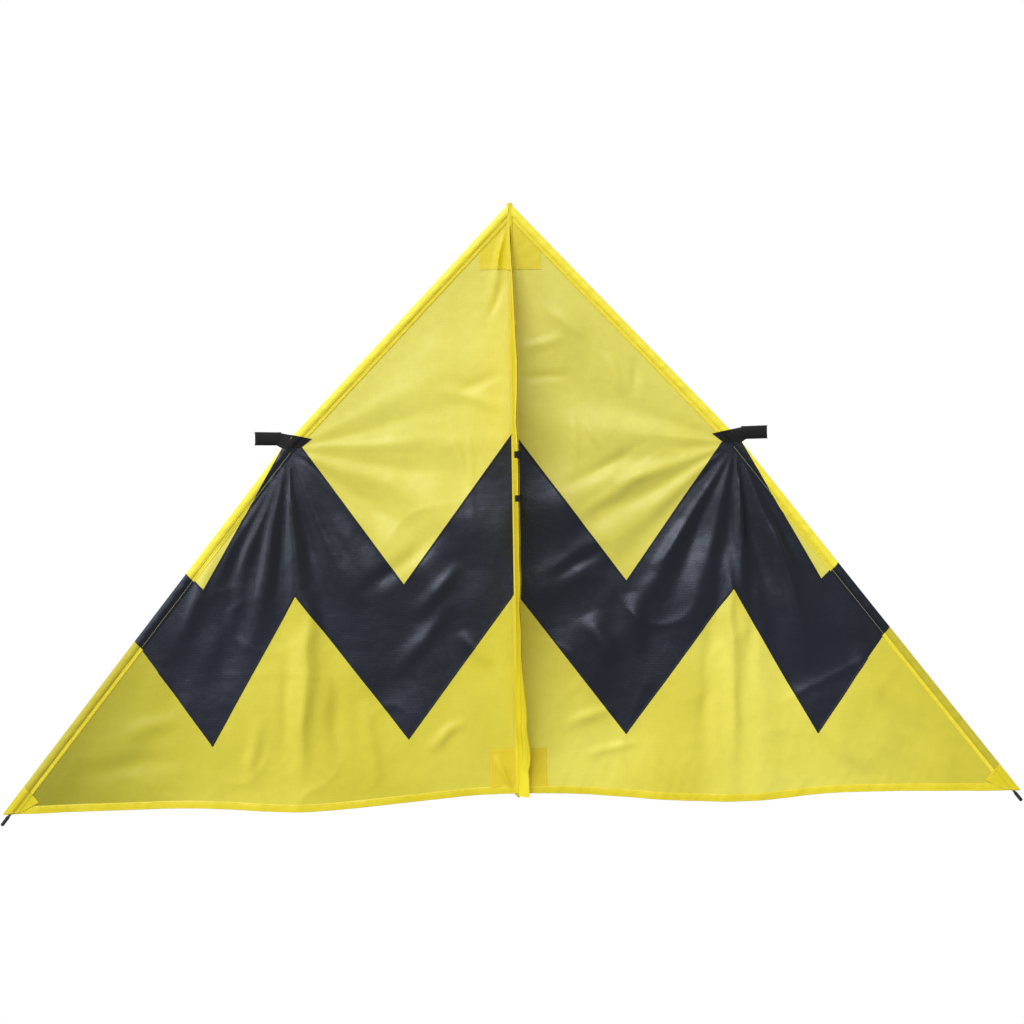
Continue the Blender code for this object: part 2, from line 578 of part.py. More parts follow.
# ---- spreader ---------------------------------------------------------------------------------
def build_spreader():
    """The cross spar in two lengths, held only by its two pockets."""
    ferrule("spreader_ferrule", spreader_body, SPREADER_FERRULE, SPREADER_DIAMETER,
            world(0.0, SPREADER_DEPTH, SPREADER_Z), (1.0, 0.0, 0.0))
    for side_name, side in SIDES:
        start = side * SEAM_GAP / 2
        end = side * (SPREADER_END_X - CAP_END - SEAM_GAP)
        rod(f"{side_name}_spreader_rod", spreader_body, SPREADER_DIAMETER,
            [world(start, SPREADER_DEPTH, SPREADER_Z), world(end, SPREADER_DEPTH, SPREADER_Z)])
        end_cap(f"{side_name}_spreader_cap", spreader_body, SPREADER_CAP, SPREADER_DIAMETER,
                world(side * SPREADER_END_X, SPREADER_DEPTH, SPREADER_Z), (side, 0.0, 0.0))


# ---- keel -------------------------------------------------------------------------------------
UPRIGHT = Matrix(((0.0, 0.0, 1.0), (1.0, 0.0, 0.0), (0.0, 1.0, 0.0)))


def upright_piece(name, body, material, outline, x, thick):
    """A plate standing over the spine; its outline is (depth, height over the hinge)."""
    flat = [(NOSE_Y - depth, height) for depth, height in outline]
    return prism(name, body, material, [flat], (x, 0.0, KEEL_HINGE_Z), thick, UPRIGHT)


def build_keel():
    """The fin under the spine: cloth, the hem along its free edges and its tow patch."""
    fin = [(KEEL_NOSE_DEPTH, KEEL_FOOT), (KEEL_TOP[0], KEEL_HEIGHT),
           (KEEL_TOP[1], KEEL_HEIGHT), (KEEL_TAIL_DEPTH, KEEL_FOOT)]
    foot = line(fin[0], fin[3])
    inner_edges = [line(a, b, -KEEL_HEM_WIDTH) for a, b in zip(fin, fin[1:])]
    inner = [meet(foot, inner_edges[0]), meet(inner_edges[0], inner_edges[1]),
             meet(inner_edges[1], inner_edges[2]), meet(inner_edges[2], foot)]
    upright_piece("keel_panel", keel_body, YELLOW_DOUBLE, shrink(inner, SEAM_GAP), 0.0, CLOTH)
    upright_piece("keel_hem", keel_body, YELLOW_DOUBLE, [*fin, *reversed(inner)], 0.0, HEM_CLOTH)
    high = KEEL_HEIGHT - KEEL_HEM_WIDTH - 2 * SEAM_GAP
    low = high - TOW_PATCH_HEIGHT
    middle = (KEEL_TOP[0] + KEEL_TOP[1]) / 2
    half_top = (KEEL_TOP[1] - KEEL_TOP[0]) / 2 - KEEL_HEM_WIDTH
    patch = [(middle - half_top, high), (middle - half_top * 1.35, low),
             (middle + half_top * 1.35, low), (middle + half_top, high)]
    for side_name, side in SIDES:
        upright_piece(f"{side_name}_tow_patch", keel_body, YELLOW_DOUBLE, patch,
                      side * (CLOTH + SEAM_GAP), CLOTH)


def build_tow_points():
    """A tape folded over the keel's edge at each tow point, and the loop on it."""
    slot = HEM_CLOTH / 2 + SEAM_GAP
    side = slot + TAPE
    for name in TOW_NAMES:
        y0 = NOSE_Y - TOW_DEPTHS[name]
        half = Vector((0.0, LOOP_TAPE / 2, 0.0))
        foot = KEEL_EDGE_Z - ANCHOR_LEG
        arch = [(-side, foot), (-slot, foot), (-slot, KEEL_EDGE_Z + SEAM_GAP),
                (slot, KEEL_EDGE_Z + SEAM_GAP), (slot, foot), (side, foot),
                (side, ANCHOR_TOP_Z), (-side, ANCHOR_TOP_Z)]
        middle = Vector((0.0, y0, 0.0))
        between(f"{name}_loop_anchor", keel_body, WEBBING, [arch], middle + half, middle - half)
        wide, top = LOOP_WIDTH / 2, LOOP_HEIGHT - LOOP_FOOT
        ring = [(0.0, -LOOP_FOOT), (wide, top * 0.58), (wide, top * 0.80), (LOOP_TOP / 2, top),
                (-LOOP_TOP / 2, top), (-wide, top * 0.80), (-wide, top * 0.58)]
        centre = Vector((0.0, y0, LOOP_HINGE_Z))
        between(f"{name}_tow_loop", loop_bodies[name], WEBBING, [ring, shrink(ring, TAPE)],
                centre + half, centre - half)


build_spine()
for side_name, side in SIDES:
    build_panels(side_name, side)
    sleeve_nose = build_sleeves(side_name, side)
    build_spars(side_name, side, sleeve_nose)
    build_patches(side_name, side)
    build_pocket(side_name, side)
build_spreader()
build_keel()
build_tow_points()
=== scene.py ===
# %% [markdown]
# # A delta kite, lying keel up
#
# The kite is two wings of sewn ripstop cloth on a frame of thin rods, with a fin of cloth, the
# keel, standing along its middle. The imported model already holds every rod, ferrule and cap at
# its right size, so this lesson sews the cloth onto it: panels, sleeves, hems, patches, straps,
# the keel and its tow loops. A piece without a bend moves with one body of the imported model;
# a piece with a bend stays where it is laid.

# %% Load the imported kite
import math

import bmesh
import bpy
from mathutils import Matrix, Vector, noise


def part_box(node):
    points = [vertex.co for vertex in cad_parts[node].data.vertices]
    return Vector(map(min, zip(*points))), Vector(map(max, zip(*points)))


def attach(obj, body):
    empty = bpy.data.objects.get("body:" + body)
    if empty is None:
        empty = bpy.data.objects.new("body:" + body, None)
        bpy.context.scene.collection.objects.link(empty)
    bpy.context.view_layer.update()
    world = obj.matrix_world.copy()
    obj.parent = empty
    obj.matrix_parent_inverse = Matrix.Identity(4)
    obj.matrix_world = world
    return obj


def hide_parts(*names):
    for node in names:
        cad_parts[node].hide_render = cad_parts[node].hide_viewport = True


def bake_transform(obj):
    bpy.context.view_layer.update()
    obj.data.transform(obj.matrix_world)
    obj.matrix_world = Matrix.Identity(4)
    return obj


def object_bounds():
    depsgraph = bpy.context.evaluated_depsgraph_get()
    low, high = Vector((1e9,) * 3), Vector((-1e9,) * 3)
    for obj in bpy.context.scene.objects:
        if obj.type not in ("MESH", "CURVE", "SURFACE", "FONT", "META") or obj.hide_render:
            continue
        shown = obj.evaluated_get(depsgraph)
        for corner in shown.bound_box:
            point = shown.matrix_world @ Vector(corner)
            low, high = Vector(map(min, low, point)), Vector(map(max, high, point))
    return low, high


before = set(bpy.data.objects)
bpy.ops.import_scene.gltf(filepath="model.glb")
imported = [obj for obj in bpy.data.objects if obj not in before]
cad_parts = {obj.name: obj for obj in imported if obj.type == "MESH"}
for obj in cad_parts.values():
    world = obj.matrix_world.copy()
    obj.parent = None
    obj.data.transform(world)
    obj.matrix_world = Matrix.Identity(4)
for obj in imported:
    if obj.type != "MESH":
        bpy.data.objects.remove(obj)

CAD_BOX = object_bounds()
print("kite", [round(high - low, 3) for low, high in zip(*CAD_BOX)], "m")

# %% [markdown]
# ## The camera
#
# The kite is seen from straight above its middle, a little off to one side. A camera at two and
# a half metres gives a slight perspective. It comes first, because every later step is judged
# through it.

# %% Camera
camera_data = bpy.data.cameras.new("camera")
camera_data.sensor_width = 36.0
camera_data.lens = 45.3
camera = bpy.data.objects.new("camera", camera_data)
camera.location = (-0.0974, -0.0095, 2.516)
camera.rotation_euler = [math.radians(turn) for turn in (0.076, -2.127, -0.909)]
bpy.context.scene.collection.objects.link(camera)
bpy.context.scene.camera = camera

# %% [markdown]
# ## Measures of the sail
#
# A place on the sail is (x, depth): x out from the spine, and depth from the nose towards the
# tail. The same places serve both wings, and `side` is -1 for the left and 1 for the right. The
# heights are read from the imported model, so the cloth lies where its solids are.

# %% Sail outline and the corners of the zigzag band
NOSE_Y = CAD_BOX[1].y
SAIL_Z = sum(corner.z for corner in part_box("right_nose_panel")) / 2
BEND = Vector((0.444, 0.467))
WING_TIP = Vector((0.988, 1.163))
TRAILING_PLACES = ((0.0, 1.146), (0.430, 1.171), (0.650, 1.159), (0.988, 1.163))
UPPER_ALONG = BEND.normalized()
LOWER_ALONG = (WING_TIP - BEND).normalized()
EDGE_BEND = BEND.length
EDGE_LENGTH = EDGE_BEND + (WING_TIP - BEND).length


def edge_distance(depth):
    """How far along the leading edge a depth past the bend lies."""
    return EDGE_BEND + (depth - BEND.y) / LOWER_ALONG.y


def edge_place(distance):
    """The place on the leading edge that is so far from the nose."""
    if distance < EDGE_BEND:
        return UPPER_ALONG * distance
    return BEND + LOWER_ALONG * (distance - EDGE_BEND)


UPPER_EDGE, LOWER_EDGE = edge_distance(0.708), edge_distance(0.836)
UPPER_SEAM = [Vector(p) for p in ((0.0, 0.446), (0.216, 0.738), (0.410, 0.467), (0.4455, 0.4700),
                                  (0.599, 0.741))]
LOWER_SEAM = [Vector(p) for p in ((0.0, 0.755), (0.211, 1.035), (0.425, 0.755), (0.587, 1.041))]
UPPER_SEAM.append(edge_place(UPPER_EDGE))
LOWER_SEAM.append(edge_place(LOWER_EDGE))
STRAP_PLACE = Vector((0.434, 0.472))          # where the strap pulls on the sail
SIDES = (("left", -1), ("right", 1))
print("leading edge", round(EDGE_LENGTH, 3), "m")

# %% Measures of the sewing
CLOTH = 0.0004
SLEEVE_WIDTH = 0.0232
HEM_WIDTH = 0.015
CELL = 0.0045                                 # size of the cloth's mesh cells
HINGE_X = 0.008                               # the wings turn about lines beside the spine
SPINE_SEAM_X = 0.0030                         # half width of the cloth that stays on the spine
SHARP_ANGLE = math.radians(40)

# %% [markdown]
# ## How the cloth lies
#
# Sewn cloth on rods is never flat. The straps pull fans of folds out of the leading edge's bend,
# the keel's seam gathers short creases, and the free trailing edge waves. All pieces of a wing
# must share these folds, or their seams would gape. So one function gives the height of the
# cloth at every place, and each piece is laid on it. A simulation would fold the cloth too, but
# not at the places where this kite's folds are.

# %% Small helpers for shapes
def smooth(low, high, value):
    """0 below low, 1 above high and a soft step between."""
    share = min(1.0, max(0.0, (value - low) / (high - low)))
    return share * share * (3 - 2 * share)


def ripple(x, depth, size, seed):
    """Soft irregular waves of about the given size, from -1 to 1."""
    return noise.noise(Vector((x / size, depth / size, seed)))


def edge_gap(x, depth):
    """How far inside the leading edge a place lies."""
    upper = UPPER_ALONG.x * depth - UPPER_ALONG.y * x
    lower = LOWER_ALONG.x * (depth - BEND.y) - LOWER_ALONG.y * (x - BEND.x)
    return min(upper, lower)


def trailing_depth(x):
    """Depth of the trailing edge, smooth between its named places."""
    for (x0, d0), (x1, d1) in zip(TRAILING_PLACES, TRAILING_PLACES[1:]):
        if x <= x1:
            return d0 + (d1 - d0) * (0.5 - 0.5 * math.cos(math.pi * (x - x0) / (x1 - x0)))
    return TRAILING_PLACES[-1][1]


def place(side, x, depth, z):
    """A place on the sail, in the kite's frame."""
    return Vector((side * x, NOSE_Y - depth, z))

# %% Folds that fan out from the straps: (degrees towards the spine, half width, height)
FANS = {
    -1: ((-30, 2.2, 1.6), (-22, 2.6, 2.6), (-12, 3.0, 3.4), (-4, 2.2, -1.6), (3, 3.0, 3.0),
         (12, 4.5, -3.0), (21, 3.6, 2.2), (31, 3.4, 1.4), (45, 3.5, 1.2), (55, 4.5, -2.4),
         (68, 4.5, 1.8), (80, 3.5, -1.2), (92, 3.0, 1.4), (103, 3.0, -1.0), (115, 4.0, 1.0)),
    1: ((-29, 2.2, -1.4), (-21, 3.0, 3.2), (-11, 2.8, -2.8), (-3, 2.4, 3.6), (5, 3.6, -2.2),
        (15, 3.6, 2.6), (24, 3.0, -1.4), (32, 2.6, 2.4), (46, 4.0, -1.6), (54, 3.6, 1.8),
        (62, 3.2, -1.6), (72, 3.6, 2.2), (84, 3.6, -1.4), (96, 4.0, 1.6), (110, 4.0, -1.0)),
}
# Single creases: start, end, half width and height, all in metres
CREASES = {
    -1: (((0.006, 0.03), (0.028, 0.17), 0.005, 0.0016), ((0.014, 0.06), (0.040, 0.20), 0.006, 0.0013),
         ((0.010, 0.14), (0.050, 0.23), 0.007, -0.0012), ((0.012, 0.33), (0.120, 0.37), 0.010, -0.0012),
         ((0.010, 0.40), (0.150, 0.36), 0.012, 0.0014), ((0.090, 0.55), (0.120, 0.45), 0.005, 0.0011),
         ((0.080, 0.42), (0.085, 0.62), 0.006, 0.0008), ((0.120, 0.62), (0.300, 0.76), 0.016, -0.0022),
         ((0.100, 0.70), (0.200, 0.80), 0.014, 0.0020), ((0.120, 0.76), (0.240, 0.92), 0.016, 0.0020),
         ((0.050, 0.90), (0.110, 0.83), 0.012, 0.0022), ((0.100, 1.00), (0.180, 1.06), 0.010, 0.0018),
         ((0.006, 1.15), (0.048, 1.07), 0.006, 0.0022), ((0.395, 0.74), (0.420, 1.12), 0.015, 0.0048),
         ((0.360, 0.86), (0.340, 1.12), 0.016, -0.0024), ((0.440, 0.80), (0.450, 1.10), 0.012, -0.0020),
         ((0.500, 0.98), (0.520, 1.13), 0.014, 0.0022), ((0.300, 0.96), (0.270, 1.13), 0.013, 0.0022),
         ((0.640, 0.98), (0.760, 1.02), 0.016, 0.0016), ((0.620, 1.06), (0.860, 1.09), 0.020, -0.0018),
         ((0.560, 0.60), (0.640, 0.84), 0.014, 0.0026), ((0.520, 0.62), (0.570, 0.86), 0.014, -0.0022)),
    1: (((0.006, 0.08), (0.022, 0.25), 0.006, 0.0013), ((0.010, 0.29), (0.110, 0.26), 0.010, 0.0013),
        ((0.008, 0.34), (0.120, 0.33), 0.009, -0.0013), ((0.060, 0.20), (0.150, 0.27), 0.014, 0.0013),
        ((0.190, 0.29), (0.215, 0.38), 0.009, 0.0018), ((0.235, 0.30), (0.240, 0.38), 0.008, -0.0014),
        ((0.115, 0.40), (0.125, 0.53), 0.005, 0.0010), ((0.140, 0.42), (0.165, 0.48), 0.006, 0.0010),
        ((0.090, 0.56), (0.260, 0.47), 0.012, -0.0020), ((0.110, 0.62), (0.300, 0.50), 0.012, 0.0020),
        ((0.060, 0.74), (0.190, 0.66), 0.014, -0.0022), ((0.140, 0.80), (0.190, 0.90), 0.020, 0.0032),
        ((0.220, 0.76), (0.240, 0.88), 0.015, 0.0024), ((0.270, 0.72), (0.330, 0.62), 0.011, 0.0022),
        ((0.416, 0.62), (0.420, 1.10), 0.014, 0.0048), ((0.450, 0.60), (0.460, 1.00), 0.015, -0.0026),
        ((0.380, 0.78), (0.360, 1.10), 0.014, -0.0020), ((0.500, 0.60), (0.560, 0.86), 0.012, 0.0026),
        ((0.090, 1.02), (0.190, 0.98), 0.012, 0.0020), ((0.120, 1.08), (0.240, 1.05), 0.009, 0.0014),
        ((0.580, 1.02), (0.700, 1.12), 0.018, 0.0020), ((0.700, 0.96), (0.830, 1.10), 0.020, -0.0020),
        ((0.660, 0.86), (0.720, 1.00), 0.014, 0.0018)),
}

# %% The height of the cloth
FAN_SLOPE = 0.0120                            # rise over reach, for each unit of height in FANS
FAN_REACH = 0.20
FAN_WIDTH = 1.25
CREASE_SHARE = 2.4
LOWEST_CLOTH = -0.0085                        # the spreader passes behind the sail


def fan_rise(side, x, depth):
    """Folds that radiate from the strap: narrow and sharp beside it, then wide and soft."""
    out = Vector((x, depth)) - STRAP_PLACE
    reach = out.length
    if reach < 1e-6:
        return 0.0
    angle = math.degrees(math.atan2(-out.x, out.y))
    rise = 0.0
    for middle, half, height in FANS[side]:
        off = (angle - middle - 3.0 * ripple(x, depth, 0.16, middle)) / (half * FAN_WIDTH)
        if abs(off) < 3:
            rise += height * math.exp(-off * off)
    return rise * FAN_SLOPE * min(reach, FAN_REACH) * math.exp(-max(0.0, reach - FAN_REACH) / 0.32)


def crease_rise(side, x, depth):
    """The single creases: soft ridges and hollows along their lines, fading at both ends."""
    rise = 0.0
    for start, end, half, height in CREASES[side]:
        from_x, from_depth = x - start[0], depth - start[1]
        run_x, run_depth = end[0] - start[0], end[1] - start[1]
        length = math.hypot(run_x, run_depth)
        along = (from_x * run_x + from_depth * run_depth) / (length * length)
        if not 0 < along < 1:
            continue
        off = (from_x * run_depth - from_depth * run_x) / length
        off += 0.008 * ripple(x, depth, 0.07, height * 1e4)
        if abs(off) < 3 * half:
            rise += height * math.exp(-(off / half) ** 2) * math.sin(math.pi * along)
    return rise * CREASE_SHARE


def sail_rise(side, x, depth):
    """How far the cloth stands above the flat sail. It is held at the spine and the sleeves."""
    gap = edge_gap(x, depth)
    seed = 3.7 * side
    free = smooth(0.018, 0.090, gap) * smooth(0.0, 0.110, x)
    held = smooth(0.010, 0.034, gap) * smooth(0.0, 0.025, x)
    tail_gap = max(0.0, trailing_depth(x) - depth)
    rise = 0.0075 * free * ripple(x, depth, 0.19, seed)
    rise += 0.0030 * free * ripple(x, depth * 0.7, 0.062, seed + 9)
    rise += 0.00035 * held * ripple(x, depth, 0.019, seed + 21)
    line = (1 - abs(ripple(x, depth, 0.13, seed + 55))) ** 9
    rise += 0.0020 * free * line * smooth(-0.15, 0.35, ripple(x, depth, 0.26, seed + 60))
    rise += held * (fan_rise(side, x, depth) + crease_rise(side, x, depth))
    waves = math.exp(-tail_gap / 0.075) * smooth(0.0, 0.05, gap) * smooth(0.0, 0.04, x)
    rise += 0.0026 * waves * ripple(x, 0.0, 0.060, seed + 31)
    rise += 0.0011 * waves * ripple(x + depth * 0.4, depth * 0.3, 0.014, seed + 41)
    return max(LOWEST_CLOTH, rise)


def cloth_place(side, x, depth, lift=0.0):
    """A place so far over the cloth of a wing."""
    return place(side, x, depth, SAIL_Z + sail_rise(side, x, depth) + lift)


print("cloth at the middle of a wing", round(cloth_place(1, 0.4, 0.8).z, 4), "m high")

# %% [markdown]
# ## Turning a mesh into a piece
#
# Each piece ends the same way: its mesh becomes an object at the origin, gets a finish, rides on
# a body of the kite unless it has a bend, and stands for the plain solids of the imported model,
# which are hidden. One function does this.

# %% Make a piece
def make_piece(name, mesh, finish, slot, replaced=(), body=None, bend=None):
    """Turns a finished bmesh into an object. It rides on a body of the kite, unless it has a bend; then it
    stays where it is laid.
    """
    bmesh.ops.recalc_face_normals(mesh, faces=mesh.faces)
    for face in mesh.faces:
        face.smooth = True
    data = bpy.data.meshes.new(name)
    mesh.to_mesh(data)
    mesh.free()
    data.set_sharp_from_angle(angle=SHARP_ANGLE)
    data.materials.append(finish)
    piece = bpy.data.objects.new(name, data)
    bpy.context.scene.collection.objects.link(piece)
    if bend:
        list(bend)
        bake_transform(piece)
    else:
        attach(piece, body)
    if replaced:
        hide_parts(*replaced)
    return piece


def from_spine(side_name, side):
    """For cloth that is sewn to the spine: the spine's and a wing's names and two places beside the spine.
    """
    near, far = side * SPINE_SEAM_X, side * (2 * HINGE_X - SPINE_SEAM_X)
    return "spine", f"{side_name}_wing", (near, 0.0, SAIL_Z), (far, 0.0, SAIL_Z)


def lay_grid(mesh, columns, rows, lay):
    """Adds a grid of cloth. lay(u, v), both 0 to 1, gives each corner's place and its UV in metres."""
    made = bmesh.ops.create_grid(mesh, x_segments=columns, y_segments=rows, size=1.0)["verts"]
    threads = mesh.loops.layers.uv.get("cloth") or mesh.loops.layers.uv.new("cloth")
    laid = {corner: lay((corner.co.x + 1) / 2, (corner.co.y + 1) / 2) for corner in made}
    faces = {face for corner in made for face in corner.link_faces}
    for face in faces:
        for loop in face.loops:
            loop[threads].uv = laid[loop.vert][1]
    for corner, (spot, _) in laid.items():
        corner.co = spot
    return made


def close_ends(mesh):
    """Merges a strip's long edges where they meet, and fills its open ends."""
    bmesh.ops.remove_doubles(mesh, verts=mesh.verts, dist=1e-6)
    open_edges = [edge for edge in mesh.edges if edge.is_boundary]
    bmesh.ops.holes_fill(mesh, edges=open_edges, sides=0)


def split(mesh, point, across, near=1e-7, clear=False):
    """Cuts the faces along a plane. A corner within near of it counts as on it."""
    whole = [*mesh.verts, *mesh.edges, *mesh.faces]
    bmesh.ops.bisect_plane(mesh, geom=whole, dist=near, plane_co=point, plane_no=across,
                           clear_outer=clear)


def trim(mesh, point, outwards):
    """Cuts away everything past a plane, and closes the cut."""
    split(mesh, point, outwards, clear=True)
    close_ends(mesh)


# %% [markdown]
# ## Finishes
#
# Ripstop is thin nylon with a grid of thicker threads, coated so that it shines softly. One
# layer lets light through, so a Translucent shader is mixed in, and where it is folded double
# its colour is deeper. All patterns follow the piece's own UV map, which is in metres, so a
# thread is as wide on a hem as on a panel.

# %% A small class for shader maths
class Wire:
    """A socket of a material, so that shader maths can be written as sums."""

    def __init__(self, tree, socket=None):
        self.tree, self.socket = tree, socket

    def node(self, kind, settings=None, inputs=None, output=0):
        """Adds any node: its settings first, then the values or links of its sockets."""
        made = self.tree.nodes.new(kind)
        for name, value in (settings or {}).items():
            setattr(made, name, value)
        for name, value in (inputs or {}).items():
            if isinstance(value, Wire):
                self.tree.links.new(value.socket, made.inputs[name])
            else:
                made.inputs[name].default_value = value
        return Wire(self.tree, made.outputs[output])

    def other(self, output):
        """Another output of the same node."""
        return Wire(self.tree, self.socket.node.outputs[output])

    def maths(self, operation, *values):
        return self.node("ShaderNodeMath", {"operation": operation}, dict(enumerate(values)))

    def __add__(self, other):
        return self.maths("ADD", self, other)

    def __sub__(self, other):
        return self.maths("SUBTRACT", self, other)

    def __rsub__(self, other):
        return self.maths("SUBTRACT", other, self)

    def __mul__(self, other):
        return self.maths("MULTIPLY", self, other)

    __radd__, __rmul__ = __add__, __mul__

    def step(self, low, high):
        """A soft step of this value, from 0 at low to 1 at high."""
        inputs = {"Value": self, "From Min": low, "From Max": high}
        return self.node("ShaderNodeMapRange", {"interpolation_type": "SMOOTHSTEP"}, inputs)

    def blend_colours(self, first, second):
        """The first colour where this value is 0, and the second where it is 1."""
        return self.node("ShaderNodeMix", {"data_type": "RGBA"}, {0: self, 6: first, 7: second}, 2)


def start_finish(name):
    """An empty material, its Principled shader and a Wire to build with."""
    material = bpy.data.materials.new(name)
    material.use_nodes = True
    tree = material.node_tree
    shader = tree.nodes["Principled BSDF"]
    return material, shader, Wire(tree)


def dress(shader, tone, roughness, height, strength, deep):
    """Gives a shader its colour and roughness, and a bump that is so deep. Returns the bump."""
    bump = tone.node("ShaderNodeBump", None,
                     {"Height": height, "Strength": strength, "Distance": deep})
    for name, value in (("Base Color", tone), ("Roughness", roughness), ("Normal", bump)):
        tone.tree.links.new(value.socket, shader.inputs[name])
    return bump


def colour(red, green, blue):
    """A colour as it is seen on a screen, 0 to 255, in the linear values that shaders use."""
    parts = (value / 255 for value in (red, green, blue))
    return (*(part / 12.92 if part < 0.04 else ((part + 0.055) / 1.055) ** 2.4 for part in parts), 1.0)

# %% The ripstop finish
RIPSTOP_SQUARE = 0.005


def ripstop_grid(wire, *directions):
    """1 on the thicker threads of the ripstop's squares, 0 between them."""
    lines = []
    for direction in directions:
        inside = wire.maths("PINGPONG", direction, RIPSTOP_SQUARE / 2)
        lines.append(1 - inside.step(0.0002, 0.0005))
    return wire.maths("MAXIMUM", *lines)


def ripstop(name, main, pale, roughness, crinkle, through, sleeve=None, tip_shade=None, shine=0.40):
    """Coated ripstop. through is the share of light that passes. sleeve is the colour of a hem's
    outer, round part, darker as painted shade on the lower sleeves. The tip colour is painted
    shade: a panel turns darker and greener towards its wing tip."""
    material, shader, wire = start_finish(name)
    tree = wire.tree
    threads = wire.node("ShaderNodeUVMap", {"uv_map": "cloth"})
    along = wire.node("ShaderNodeSeparateXYZ", None, {0: threads})
    grid = ripstop_grid(wire, along, along.other(1))
    clouds = wire.node("ShaderNodeTexNoise", None, {"Vector": threads, "Scale": 2.6, "Detail": 1.5})
    base = clouds.step(0.30, 0.72).blend_colours(main, pale)
    creases = wire.node("ShaderNodeTexNoise", None,
                        {"Vector": threads, "Scale": 55.0, "Detail": 4.0, "Distortion": 0.6})
    fine = wire.node("ShaderNodeTexNoise", None, {"Vector": threads, "Scale": 260.0, "Detail": 2.0})
    # A hem's round part, over the spar, gets its own colour; the lower sleeves are given a darker one, which
    # is painted shade.
    if sleeve:
        base = along.other(1).step(0.0150, 0.0165).blend_colours(sleeve, base)
    # Painted shade: the colour turns darker and greener towards the wing tip.
    if tip_shade:
        base = along.step(0.50, 0.98).blend_colours(base, tip_shade)
    # Darker on the ripstop's thicker threads, which is their own colour, and in the crinkles of the crease
    # noise, which is painted shade.
    thread_and_crease_shade = wire.node("ShaderNodeMix", {"data_type": "RGBA", "blend_type": "MULTIPLY"},
                       {0: 1.0, 6: base, 7: (0.62, 0.6, 0.55, 1)}, 2)
    tone = (grid * 0.13 + creases.step(0.35, 0.75) * 0.10).blend_colours(base, thread_and_crease_shade)
    bump = dress(shader, tone, creases * 0.16 + (roughness - 0.08),
                 creases * 0.8 + fine * 0.10 + grid * 0.10, crinkle, 0.0012)
    shader.inputs["Specular IOR Level"].default_value = shine
    shader.inputs["Specular Tint"].default_value = colour(226, 234, 255)
    glow = wire.node("ShaderNodeBsdfTranslucent", None, {"Color": main, "Normal": bump})
    mixed = wire.node("ShaderNodeMixShader", None,
                      {0: through, 1: Wire(tree, shader.outputs[0]), 2: glow})
    tree.links.new(mixed.socket, tree.nodes["Material Output"].inputs["Surface"])
    print("finish", name)
    return material


YELLOW = ripstop("yellow ripstop", colour(219, 210, 86), colour(227, 220, 104), 0.40, 0.35, 0.10)
# Painted shade on the lower panels: the left one is a darker copy of the yellow ripstop, and both darken
# towards the wing tip.
YELLOW_LEFT_SHADED = ripstop("yellow ripstop lower left, painted shade", colour(208, 197, 54), colour(221, 211, 74),
                      0.40, 0.35, 0.10, tip_shade=colour(152, 148, 38))
YELLOW_RIGHT_SHADED = ripstop("yellow ripstop lower right, painted shade", colour(217, 206, 66), colour(232, 224, 96),
                       0.40, 0.35, 0.10, tip_shade=colour(206, 196, 58))
DOUBLE_TONES = colour(222, 205, 32), colour(230, 214, 44)
SLEEVE_TONES = colour(240, 224, 46), colour(245, 230, 60)
DOUBLE = ripstop("yellow ripstop double", *DOUBLE_TONES, 0.42, 0.45, 0.08)
# The tail patches: a darker copy of the double ripstop, painted shade.
DOUBLE_LOW_SHADED = ripstop("yellow ripstop double, tail, painted shade", colour(218, 194, 34), colour(228, 206, 44),
                     0.42, 0.45, 0.08)
# The keel: a brighter copy of the double ripstop, painted light for a fin that the lights reach only at a
# slant.
KEEL_FINISH_PAINTED_LIGHT = ripstop("yellow ripstop keel, painted light", colour(246, 230, 36), colour(250, 236, 46), 0.45, 0.3, 0.25)
SLEEVE_HIGH = ripstop("yellow ripstop upper sleeve", *SLEEVE_TONES, 0.42, 0.9, 0.08,
                      sleeve=colour(246, 232, 62))
# The lower sleeves: a darker, greener round part, painted shade.
SLEEVE_LOW_SHADED = ripstop("yellow ripstop lower sleeve, painted shade", *SLEEVE_TONES, 0.42, 0.9, 0.08,
                     sleeve=colour(198, 186, 50))
DARK = ripstop("dark ripstop", colour(10, 13, 20), colour(15, 19, 30), 0.36, 0.40, 0.03, shine=0.65)
SEAM = ripstop("dark ripstop seam", colour(16, 17, 22), colour(20, 21, 26), 0.50, 0.4, 0.02)

# %% Webbing, thread and the rods' finishes
def woven(name, main, pale, rib):
    """Webbing: slanting ribs of yarn, each with a rounded back."""
    material, shader, wire = start_finish(name)
    threads = wire.node("ShaderNodeUVMap", {"uv_map": "cloth"})
    twill = [wire.node("ShaderNodeMapping", None, {"Vector": threads, "Rotation": (0, 0, turn)})
             for turn in (0.5, -0.5)]
    ribs = [wire.node("ShaderNodeTexWave", {"bands_direction": "X"},
                      {"Vector": slant, "Scale": 1 / rib, "Distortion": 0.4}) for slant in twill]
    weave = wire.maths("MAXIMUM", *[yarn.other("Fac") for yarn in ribs])
    fuzz = wire.node("ShaderNodeTexNoise", None, {"Vector": threads, "Scale": 900.0})
    tone = (weave * 0.6 + fuzz * 0.4).blend_colours(main, pale)
    dress(shader, tone, fuzz * 0.2 + 0.62, weave + fuzz * 0.3, 0.6, 0.0004)
    shader.inputs["Specular IOR Level"].default_value = 0.25
    return material


